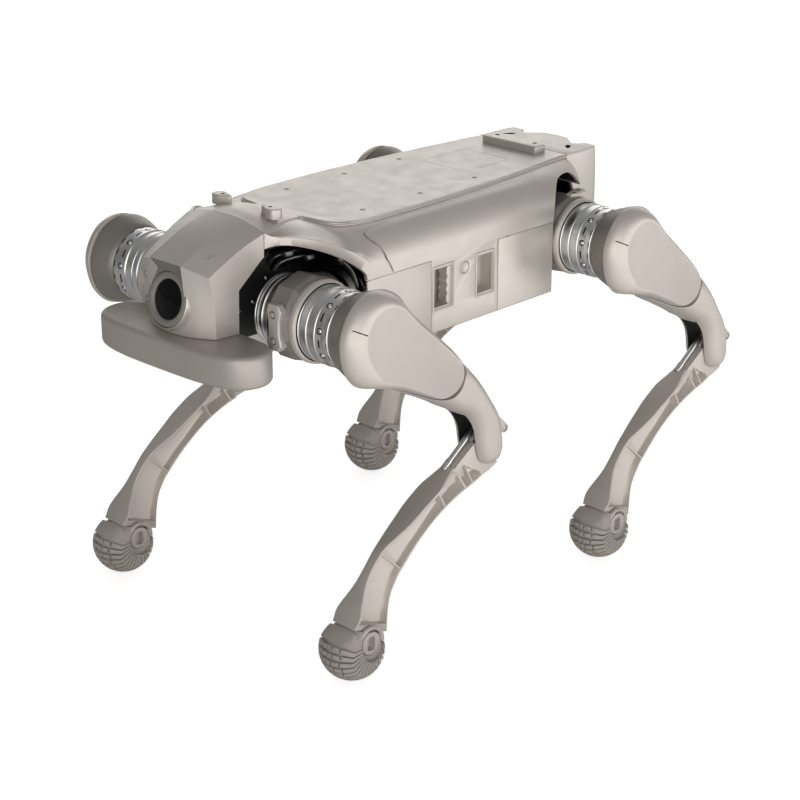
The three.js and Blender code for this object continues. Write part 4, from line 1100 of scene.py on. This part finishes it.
def wing_panel():
    """Thin raised panel on the shoulder with an S-shaped front edge."""
    columns, rows = 70, 18
    rings = []
    for u in [k / columns for k in range(columns + 1)]:
        out, back = [], []
        for j in range(rows + 1):
            v = j / rows
            rear = -138.5 + 26 * v ** 2.2
            x = rear + (along_table(WING_FRONT, v) - rear) * u
            t = v * wing_top(x)
            px, py, pz = roof_point(x, t, 1.5 * min(1, 0.2 + 0.8 * min(1, (1 - v) * 5)))
            bx, by, bz = roof_point(x, t, -1.0)
            if j == 0:
                pz = bz = PARTING_Z + 1.2
            out.append((px, py, pz))
            back.append((bx, by, bz))
        rings.append(out + back[::-1])
    return skin(rings)


def wing_shadow_gap():
    """Dark strip along the front and top edges of the raised panel: painted shadow of the gap round it."""
    front, top = [], []
    for v in [j / 24 for j in range(25)]:
        x = along_table(WING_FRONT, v)
        ring = []
        for ahead, lift in ((-0.3, -0.8), (-0.3, 0.22), (0.5, 0.22), (0.5, -0.8)):
            here = x + ahead
            _, y, z = roof_point(here, v * wing_top(here), lift)
            ring.append((here, y, max(z, PARTING_Z + 0.5)))
        front.append(ring)
    for j in range(61):
        x = -112 + (WING_FRONT[-1][1] + 112) * j / 60
        top.append([roof_point(x, wing_top(x) + above, lift)
                    for above, lift in ((-0.004, -0.8), (-0.004, 0.2), (0.004, 0.2), (0.004, -0.8))])
    return joined(skin(front), skin(top))


def deck_half(x):
    """Half width of the deck and the panel ahead of it."""
    return along_table(DECK_EDGE + HEAD_EDGE, x)


def deck_height(x, y):
    """Flat deck that rises into a crowned panel at the head."""
    crest = 14.1 * steady(112, 168, x) - 1.8 * steady(178, 194, x)
    fall = min(1, abs(y) / max(deck_half(x), 1)) ** 2.2
    return DECK_Z + crest + (along_table(RIM_HEIGHT, x) - crest) * fall


def deck():
    """Flat payload deck and the rising panel behind the head, with a rounded rim."""
    places = [ROOF_REAR_X + 8 * k for k in range(39)] + [102 + 0.8 * k for k in range(40)]
    places += [134 + (COVER_X - 134) * k / 20 for k in range(21)]
    shares = [1, 0.992, 0.975, 0.95, 0.91, 0.85, 0.76, 0.64, 0.5, 0.35, 0.18]
    border = [Vector((x, deck_half(x))) for x in places]
    rings = []
    for x in places:
        half = deck_half(x)
        ring = [(x, half, ROOF_Z + 0.3)]
        for share in shares + [0] + [-share for share in reversed(shares)]:
            y = half * share
            distance = min(rim_distance(Vector((x, abs(y))), border), x - ROOF_REAR_X + 0.6, DECK_RIM)
            drop = DECK_RIM - math.sqrt(max(0, DECK_RIM ** 2 - (DECK_RIM - distance) ** 2))
            ring.append((x, y, deck_height(x, y) - drop * 0.9))
        ring.append((x, -half, ROOF_Z + 0.3))
        rings.append(ring)
    mark = rounded(rectangle((-156, -92), (-30, 30)), 5)
    groove = cut(prism(mark, "xy", DECK_Z - 0.25, 390), prism(inset(mark, 0.6), "xy", 380, 400))
    return cut(skin(rings), groove)


def rim_distance(point, border):
    """Distance from a point to the deck's border."""
    best = 1e9
    for a, b in zip(border, border[1:]):
        along = b - a
        t = min(max((point - a).dot(along) / max(along.length_squared, 1e-9), 0), 1)
        best = min(best, (point - a - along * t).length)
    return best


def deck_bead(side):
    """Bright rounded bead that runs round the foot of the deck."""
    outline = smooth(DECK_EDGE + HEAD_EDGE, 5, False)
    section = [(-1.5, -1.2), (0.6, -1.2), (1.15, -0.75), (1.3, -0.1), (1.1, 0.5), (0.5, 0.9), (-1.5, 0.9)]
    rings = []
    for index, point in enumerate(outline):
        ahead = (outline[min(index + 1, len(outline) - 1)] - outline[max(index - 1, 0)]).normalized()
        out = Vector((-ahead.y, ahead.x))
        low = along_table(BEAD_Z, point.x)
        rings.append([(min(point.x + out.x * u, COVER_X), side * (point.y + out.y * u), low + v)
                      for u, v in section])
    return skin(rings)


def deck_screws():
    """Recessed screw heads of the deck, each in its own ring."""
    ring = ((1.7, -0.6), (1.7, 0.12), (2.6, 0.12), (2.9, -0.2), (2.9, -0.6))
    head = ((0, -0.6), (1.5, -0.6), (1.5, 0.05), (0.7, 0.1), (0, -0.2))
    screws = []
    for at in [(x, y) for x in (71, -5, -81) for y in (50, -50)]:
        for profile, segments in ((ring, 24), (head, 16)):
            screws.append(turned([(radius, DECK_Z + rise) for radius, rise in profile], "z", at, segments))
    return joined(*screws)


def head_section(y, wall=0.0):
    """Side outline of the nose at a distance from its middle: slope, brow, front and floor."""
    place = abs(y) / HEAD_HALF * NOSE_HALF
    brow = max(0, (place - BROW_HALF) / (NOSE_HALF - BROW_HALF))
    ridge = Vector((263.6, 370.2)).lerp(Vector((252, 361.6)), brow)
    crease = Vector((263, 363.8)).lerp(Vector((251.8, 361.0)), brow)
    front = Vector((262.6, 341)).lerp(Vector((247, 338)), brow ** 1.4)
    floor = Vector((261, CHIN_Z)).lerp(Vector((246, CHIN_Z)), (place / NOSE_HALF) ** 2.4)
    crown = DECK_Z + 12.3 - 8.6 * (abs(y) / HEAD_HALF) ** 2.2
    if wall:
        return [(SEAM_X, floor.y + wall), (SEAM_X, crown - wall), (ridge.x - 3 * wall, ridge.y - 1.6 * wall),
                (front.x - 1.6 * wall, front.y), (floor.x - 1.6 * wall, floor.y + wall)]
    top = Vector((SEAM_X, crown))
    slope = [top.lerp(ridge, k / 6) + Vector((0, 2.3 * math.sin(math.pi * k / 6))) for k in range(6)]
    return [(SEAM_X, floor.y), *slope, ridge, crease, front, floor]


def narrowed(point):
    """Draws the nose in towards its front."""
    share = min(max((point.x - SEAM_X) / (252 - SEAM_X), 0), 1)
    return Vector((point.x, point.y * (1 - (1 - NOSE_HALF / HEAD_HALF) * share), point.z))


def head_cover():
    """Faceted nose shell with a pocket under its brow, in which the camera sits; the pocket's walls take the
    taupe paint as painted shade.
    """
    half = [0, 0.16, 0.32, BROW_HALF / NOSE_HALF, 0.56, 0.66, 0.76, 0.86, 0.94, 1]
    places = [-HEAD_HALF * share for share in half[:0:-1]] + [HEAD_HALF * share for share in half]
    outer = changed(loft([(y, head_section(y)) for y in places], "xz"), narrowed)
    inner = changed(loft([(y * 0.94, head_section(y, WALL)) for y in places], "xz"), narrowed)
    inner = dressed(inner, 1)
    back = dressed(box((SEAM_X - 5, SEAM_X + 8), (-47.5, 47.5), (307, 380)), 1)
    side_cut = prism([(180, 300), (180, 368.4), (194.6, 368.4), (221, 344), (222, 300)], "xz", -60, 60)
    shell = cut(outer, inner, back)
    barrel = tilted(turned([(0, -32), (29, -32), (29, -17), (27.6, -9), (25.9, -1.4), (25.2, -0.4),
                            (24.8, -4.6), (0, -4.6)], "x", segments=72))
    barrel = cut(barrel, box((SEAM_X, 300), (-60, 60), (250, CHIN_Z)))
    bore = tilted(dressed(rod(18.6, "x", (-60, 20), segments=64), 1))
    seat = tilted(rod(24.9, "x", (-4.6, 0.3), segments=64))
    pocket = [(257.8, 16.4, 360.2), (262.0, 22.0, 342.3), (262.7, 22.6, 338.6), (267.1, 22.8, 376.2),
              (270, 22.6, 341), (272, 23, 337)]
    # the pocket's walls take the taupe paint: painted shade
    room = dressed(hull(pocket + [(x, -y, z) for x, y, z in pocket]), 2)
    return cut(fused(shell, barrel), side_cut, room, seat, bore)


def hull(points):
    """The convex solid round a few points."""
    work = bmesh.new()
    for point in points:
        work.verts.new(point)
    bmesh.ops.convex_hull(work, input=work.verts)
    mesh = bpy.data.meshes.new("hull")
    work.to_mesh(mesh)
    work.free()
    shape = shape_of(mesh)
    bpy.data.meshes.remove(mesh)
    return shape


def head_disc():
    """Flush round cap on the nose's slope."""
    x, y = 240, 31.5
    (x0, z0), (x1, z1) = head_section(y / NOSE_HALF * HEAD_HALF)[4:6]
    lean = math.degrees(math.atan2(z0 - z1, x1 - x0))
    z = z0 + (z1 - z0) * (x - x0) / (x1 - x0)
    disc = turned([(0, -0.4), (5.6, -0.4), (5.6, 0.35), (5.2, 0.5), (4.8, 0.25), (0, 0.3)], "z", segments=40)
    disc = turned_by(turned_by(disc, -9, "X"), lean, "Y")
    return moved(disc, x, y, z)


def tilted(shape):
    """A piece built round the X axis, tipped up to the camera's line and moved to the lens."""
    tipped = turned_by(shape, -LENS_TILT, "Y")
    return moved(tipped, LENS[0], 0, LENS[1])


def camera_bezel():
    return tilted(turned([(18.1, -5), (23.3, -5), (24.2, -4), (24.4, -1.4), (23.8, -0.4), (22.6, 0.2),
                          (20.2, 0.1), (19.4, -0.3), (18.6, -0.9), (18.1, -1.6)], "x", segments=96))


def camera_lens():
    return tilted(turned([(0, -9), (17.6, -9), (17.6, -2.6), (14, -1.7), (9, -1.0), (4, -0.6), (0, -0.5)],
                         "x", segments=72))


def chin_bumper():
    half = [(217, 0), (217, 40), (217.4, 62), (220, 82), (228, 95.5), (240, 100.8), (253, 99.4), (264, 92.5),
            (271, 80), (275.3, 58), (277.15, 28)]
    outline = smooth([*half, *[(x, -y) for x, y in reversed(half[1:])]], 6)
    rings = [(273, 9), (273.3, 5), (274.3, 2.6), (276, 1.0), (278.5, 0), (299.6, 0), (301.6, 0.5), (303, 1.7),
             (303.8, 3.4), (304, 6)]
    return loft([(at, inset(outline, d)) for at, d in rings], "xy")


def lower_tray():
    """Belly and flanks in one trough, with room for the battery and its door."""
    corner, top = 2.4, PARTING_Z - 0.4
    arc = [(FLANK_Y - corner * (1 - math.sin(turn)), FLOOR_Z + corner * (1 - math.cos(turn)))
           for turn in [math.pi / 2 * k / 6 for k in range(7)]]
    outer = prism([(FLANK_Y, top), *arc[::-1], *[(-y, z) for y, z in arc], (-FLANK_Y, top)], "yz", *FLANK_X)
    inner = prism([(97.5, 400), (97.5, 271), (-97.5, 271), (-97.5, 400)], "yz", FLANK_X[0] - 5,
                  FLANK_X[1] + 5)
    door_room = box((DOOR_X[0] - 0.4, DOOR_X[1] + 0.4), (95.4, 110), (DOOR_Z[0] - 0.4, 400))
    return cut(outer, dressed(inner, 1), door_room, box((-57.4, 29.4), (80, 97), (271.5, 300)))


def grip_frame(x, z):
    """Thin raised frame round a finger grip."""
    inside = prism(rounded(rectangle(x, z, (1.6, 2)), 1.0), "xz", 90, 110)
    outside = rounded(rectangle(x, z, (3, 3.4)), 1.8)
    return cut(soft_prism(outside, "xz", FLANK_Y - 1.5, FLANK_Y + 0.8, 0.1, 0.5, 2), inside)


def battery_pack():
    """Door with two finger grips, and the cells behind it."""
    cells = soft_box((-57, 29), (-60, 96.5), (272, 345.5), 1.5)
    door = soft_prism(rounded(rectangle(DOOR_X, DOOR_Z), 3.2), "xz", 95.8, FLANK_Y, 0.2, 0.7, 3)
    tools = []
    for x in (FRONT_GRIP_X, REAR_GRIP_X):
        hole = rounded(rectangle(x, GRIP_Z), 1.2)
        tools.append(loft([(86, inset(hole, 1.2)), (98.6, hole), (110, hole)], "xz"))
        tools.append(prism(rounded(rectangle(x, GRIP_Z, (0.8, 1.2)), 1.4), "xz", 99.0, 110))
    tools.append(rod(6.2, "y", (94.6, 110), BUTTON, 48))
    frames = [grip_frame(x, GRIP_Z) for x in (FRONT_GRIP_X, REAR_GRIP_X)]
    return joined(cut(fused(cells, door), *tools), *frames)


def battery_latch():
    """Toothed strip in the front grip."""
    x0, x1 = FRONT_GRIP_X[0] + 0.4, FRONT_GRIP_X[0] + 6
    z0, z1 = GRIP_Z[0] + 0.4, GRIP_Z[1] - 0.4
    edge = [(x1 - 1.0, z0), (x1 + 0.4, z0 + 4)]
    for k in range(3):
        z = z0 + 8 + 8 * k
        edge += [(x1 + 0.4, z), (x1 - 0.8, z + 1.2), (x1 - 0.8, z + 3.8), (x1 + 0.6, z + 5)]
    edge.append((x1 - 0.8, z1))
    return soft_prism([(x0, z0), *edge, (x0, z1)], "xz", 89, 99.2, 0.2, 0.5, 2)


def power_button():
    return turned([(0, 96.8), (5.6, 96.8), (5.7, 99.4), (5.4, 99.9), (5.0, 100), (4.6, 99.75), (0, 99.7)],
                  "y", BUTTON, 48)


def both_sides(half):
    """A closed outline from its -Y half, whose last point lies on the middle line."""
    return [*half, *[(x, -y) for x, y in reversed(half[:-1])]]


def rear_cap():
    """Tail cap with two notches in its top edge and two teardrop holes."""
    plan = both_sides([(CAP_X, -58), (-222, -58), (-252, -57), (-259.5, -54), (-259.5, -41), (-254, -38.5),
                       (-249.5, -32.5), (-256, -24), (-263.4, -16), (-265.6, 0)])
    low_plan = both_sides([(CAP_X, -58), (-222, -58), (-252, -57), (-262, -53.5), (-266.4, -44),
                           (-266.9, -38), (-267, -32), (-267, -24), (-267, -16), (-267, 0)])
    rings = []
    for at, share, d in ((286, 1, 5), (287.5, 1, 2.2), (291, 1, 0.3), (296, 1, 0), (361, 1, 0),
                         (366, 0.82, 0), (372, 0.5, 0), (378, 0.22, 0), (382, 0.08, 0), (384.8, 0.0, 0.1),
                         (385.7, 0, 0.5), (386, 0, 1.2)):
        rings.append((at, inset([Vector(a).lerp(Vector(b), share) for a, b in zip(plan, low_plan)], d)))
    inner = prism([(-200, -55), (-250, -54), (-256, -48), (-256, 48), (-250, 54), (-200, 55)], "xy", 290,
                  382.6)
    leg_room = prism([(-200, 280), (-200, 372), (-210.5, 372), (-216, 362), (-223, 345), (-223, 280)], "xz",
                     -90, 90)
    drop = [(-240, 34.5), (-236.4, 34.6), (-233, 36.6), (-229, 43.6), (-235.2, 41.6), (-239.6, 38.6)]
    holes = [dressed(prism(smooth([(x, y * side) for x, y in drop], 4), "xy", 370, 400), 1)
             for side in (1, -1)]
    return cut(loft(rings, "xy"), dressed(inner, 1), leg_room, *holes)


def rear_rail():
    """Raised bar with a screw hole near each end."""
    outline = rounded(rectangle((-204, -188), (-35.5, 35.5)), 2.4)
    body = soft_prism(outline, "xy", DECK_Z + 0.1, 393.6, 0.1, 1.5, 4)
    return cut(body, *[dressed(rod(2.3, "z", (388, 400), (-199.6, y)), 1) for y in (24.8, -24.8)])


def front_lug(side):
    """Raised lug across the panel: pointed towards the middle, round outside, with one hole."""
    outline = [(160.6, 33), (160.4, 38), (163, 41.4), (167, 42.4), (171, 41.4), (173.6, 38), (173.6, 32),
               (171, 26), (168, 20.6), (166, 20.6), (163, 26)]
    outline = smooth([(x, y * side) for x, y in outline], 4)
    body = soft_prism(outline, "xy", 396, 405.2, 0.1, 1.2, 4)
    return cut(body, dressed(rod(1.9, "z", (400, 410), (167.2, 31 * side)), 1))


def arch_details():
    """What shows in the dark bays: bolts, a strut and small blocks."""
    bolts, struts = [], []
    for side in (1, -1):
        for x, z in ((173, 341), (189.7, 322.8), (206, 318)):
            bolts.append(ball(1.9, (x, (BAY_PLATE_Y[1] + 0.3) * side, z), 0.6))
        path = [(126, 78 * side, 357), (121, 84 * side, 349), (117.8, 88 * side, 334), (117, 88 * side, 318)]
        struts.append(tube_along(smooth(path, 6, False), 3.0, 14))
        struts.append(ball(5.2, (127, 77 * side, 357.5), 0.8, "x"))
        for y, z, radius in ((40, 371, 2.6), (49, 366, 3.4), (57, 362.5, 2.2)):
            run = [(136, y * side, z - 2), (158, (y + 2) * side, z + 2), (178, (y - 2) * side, z),
                   (188, y * side, z - 4)]
            struts.append(tube_along(smooth(run, 5, False), radius, 12))
        for x, y, z in ((148, 60, 361), (170, 56, 368)):
            struts.append(soft_box((x, x + 9), sorted((y * side, (y + 7) * side)), (z, z + 5), 1))
    return joined(*bolts), joined(*struts)


def bay_plate():
    """Black side plates below the head, with a floor between them."""
    outline = [(168, 291), (168, 364), (197, 368), (221, 343), (221.6, 306), (216.6, 304.3), (216.6, 291)]
    plates = [prism(outline, "xz", *sorted((BAY_PLATE_Y[0] * side, BAY_PLATE_Y[1] * side)))
              for side in (1, -1)]
    return joined(*plates, soft_box((168, 216.6), (-BAY_PLATE_Y[0], BAY_PLATE_Y[0]), (291, 293.5), 0.4))


def build_trunk():
    trunk_piece(joined(deck(), deck_bead(1), deck_bead(-1)), "payload_deck", ("shell",),
                ("top_plate", "head_top"), angle=40)
    trunk_piece(deck_screws(), "deck_screws", ("trim",))
    trunk_piece(top_cover(), "roof_shell", ("shell", "dark"), ("top_cover",), angle=36)
    wing = wing_panel()
    trunk_piece(wing, "shoulder_panel_left", ("shell",), angle=50)
    trunk_piece(mirrored(wing), "shoulder_panel_right", ("shell",), angle=50)
    # dark strips round the raised panels: painted shadow of their edge gaps
    shadow_gap = wing_shadow_gap()
    trunk_piece(joined(shadow_gap, mirrored(shadow_gap)), "shoulder_shadow_gaps", ("taupe",))
    trunk_piece(lower_tray(), "belly_tray", ("shell", "dark"), ("lower_tray",), bevel=0.4)
    trunk_piece(battery_pack(), "battery_door", ("shell",), ("battery_pack",), "battery", bevel=0.25)
    trunk_piece(battery_latch(), "latch_strip", ("shell",), ("battery_latch",), "latch")
    trunk_piece(power_button(), "button_disc", ("shell",), ("power_button",), "button")
    trunk_piece(head_cover(), "nose_shell", ("shell", "dark", "taupe"), ("head_cover",), bevel=0.4,
                angle=11)
    trunk_piece(head_disc(), "nose_disc", ("shell",))
    trunk_piece(camera_bezel(), "lens_ring", ("trim",), ("camera_bezel",))
    trunk_piece(camera_lens(), "lens_window", ("glass",), ("camera_lens",))
    trunk_piece(chin_bumper(), "nose_bumper", ("bumper",), ("chin_bumper",), angle=50)
    trunk_piece(rear_cap(), "tail_cap", ("shell", "dark"), ("rear_cap",), angle=30)
    trunk_piece(rear_rail(), "tail_rail", ("shell", "dark"), ("rear_rail",))
    for side, name in ((1, "left"), (-1, "right")):
        trunk_piece(front_lug(side), f"deck_lug_{name}", ("shell", "dark"), (f"front_lug_{name}",))
    bolts, struts = arch_details()
    trunk_piece(bolts, "bay_bolts", ("chrome",))
    trunk_piece(struts, "bay_struts", ("gunmetal",))
    trunk_piece(bay_plate(), "bay_plates", ("dark",))


def dress_inner_nodes():
    """Materials of the CAD nodes that stay as they are."""
    for name, node in frame["nodes"].items():
        if node.hide_render:
            continue
        metal = "steel" if name.endswith(("knee_motor", "knee_crank")) else "dark"
        node.data.materials.clear()
        node.data.materials.append(M["board" if name == "main_board" else metal])


# ---- floor, light and camera ----
def add_camera():
    low, high = CAD_BOUNDS
    target = (Vector(low) + Vector(high)) / 2 + CAMERA_AIM
    azimuth, elevation = math.radians(CAMERA_AZIMUTH), math.radians(CAMERA_ELEVATION)
    back = Vector((math.cos(elevation) * math.cos(azimuth), math.cos(elevation) * math.sin(azimuth),
                   math.sin(elevation)))
    camera = bpy.data.objects.new("camera", bpy.data.cameras.new("camera"))
    camera.data.lens = CAMERA_LENS
    camera.data.sensor_width = 36
    camera.data.clip_end = 100
    camera.location = target + back * CAMERA_DISTANCE
    camera.rotation_euler = back.to_track_quat("Z", "Y").to_euler()
    bpy.context.scene.collection.objects.link(camera)
    bpy.context.scene.camera = camera


def add_floor():
    """Pale paper floor, lifted to near white where the camera sees it directly."""
    size = FLOOR_HALF
    mesh = bpy.data.meshes.new("floor")
    mesh.from_pydata([(x, y, 0) for x, y in rectangle((-size, size), (-size, size))], [], [(0, 1, 2, 3)])
    nodes = Nodes("floor_paper")
    tone = nodes.drift(2, (0.80, 0.80, 0.80), (0.82, 0.82, 0.82), 2)
    nodes.link(tone, nodes.shader.inputs["Base Color"])
    nodes.shader.inputs["Roughness"].default_value = 0.9
    nodes.shader.inputs["Emission Color"].default_value = (1, 1, 1, 1)
    split = nodes.add("ShaderNodeSeparateXYZ")
    nodes.link(nodes.place, split.inputs["Vector"])
    bounce = nodes.spread(split.outputs["Y"], 0, FLOOR_BOUNCE, *BOUNCE_Y)
    path = nodes.add("ShaderNodeLightPath")
    seen = nodes.add("ShaderNodeMix")
    nodes.link(path.outputs["Is Camera Ray"], seen.inputs["Factor"])
    nodes.link(bounce, seen.inputs["A"])
    seen.inputs["B"].default_value = FLOOR_SEEN
    nodes.link(seen.outputs["Result"], nodes.shader.inputs["Emission Strength"])
    mesh.materials.append(nodes.material)
    floor = bpy.data.objects.new("floor", mesh)
    bpy.context.scene.collection.objects.link(floor)


def add_world():
    """A dim room with a few broad soft lights."""
    world = bpy.data.worlds.new("studio")
    world.use_nodes = True
    bpy.context.scene.world = world
    tree = world.node_tree

    def added(first, second):
        """The sum of two values, each a number or a socket."""
        both = tree.nodes.new("ShaderNodeMath")
        for socket, value in zip(both.inputs, (first, second)):
            if isinstance(value, float):
                socket.default_value = value
            else:
                tree.links.new(value, socket)
        return both.outputs["Value"]

    place = tree.nodes.new("ShaderNodeTexCoord").outputs["Generated"]
    total = ROOM_LIGHT
    for direction, reach, brightness in SOFT_LIGHTS:
        dot = tree.nodes.new("ShaderNodeVectorMath")
        dot.operation = "DOT_PRODUCT"
        tree.links.new(place, dot.inputs[0])
        dot.inputs[1].default_value = Vector(direction).normalized()
        lobe = tree.nodes.new("ShaderNodeMapRange")
        lobe.interpolation_type = "SMOOTHERSTEP"
        lobe.inputs["From Min"].default_value = reach
        lobe.inputs["To Max"].default_value = brightness
        tree.links.new(dot.outputs["Value"], lobe.inputs["Value"])
        total = added(total, lobe.outputs["Result"])
    tree.links.new(total, tree.nodes["Background"].inputs["Strength"])
    tree.nodes["Background"].inputs["Color"].default_value = ROOM_COLOUR


def add_studio():
    add_floor()
    add_world()
    bpy.context.scene.view_settings.view_transform = "Standard"
    add_camera()


add_studio()
build_trunk()
build_legs()
dress_inner_nodes()
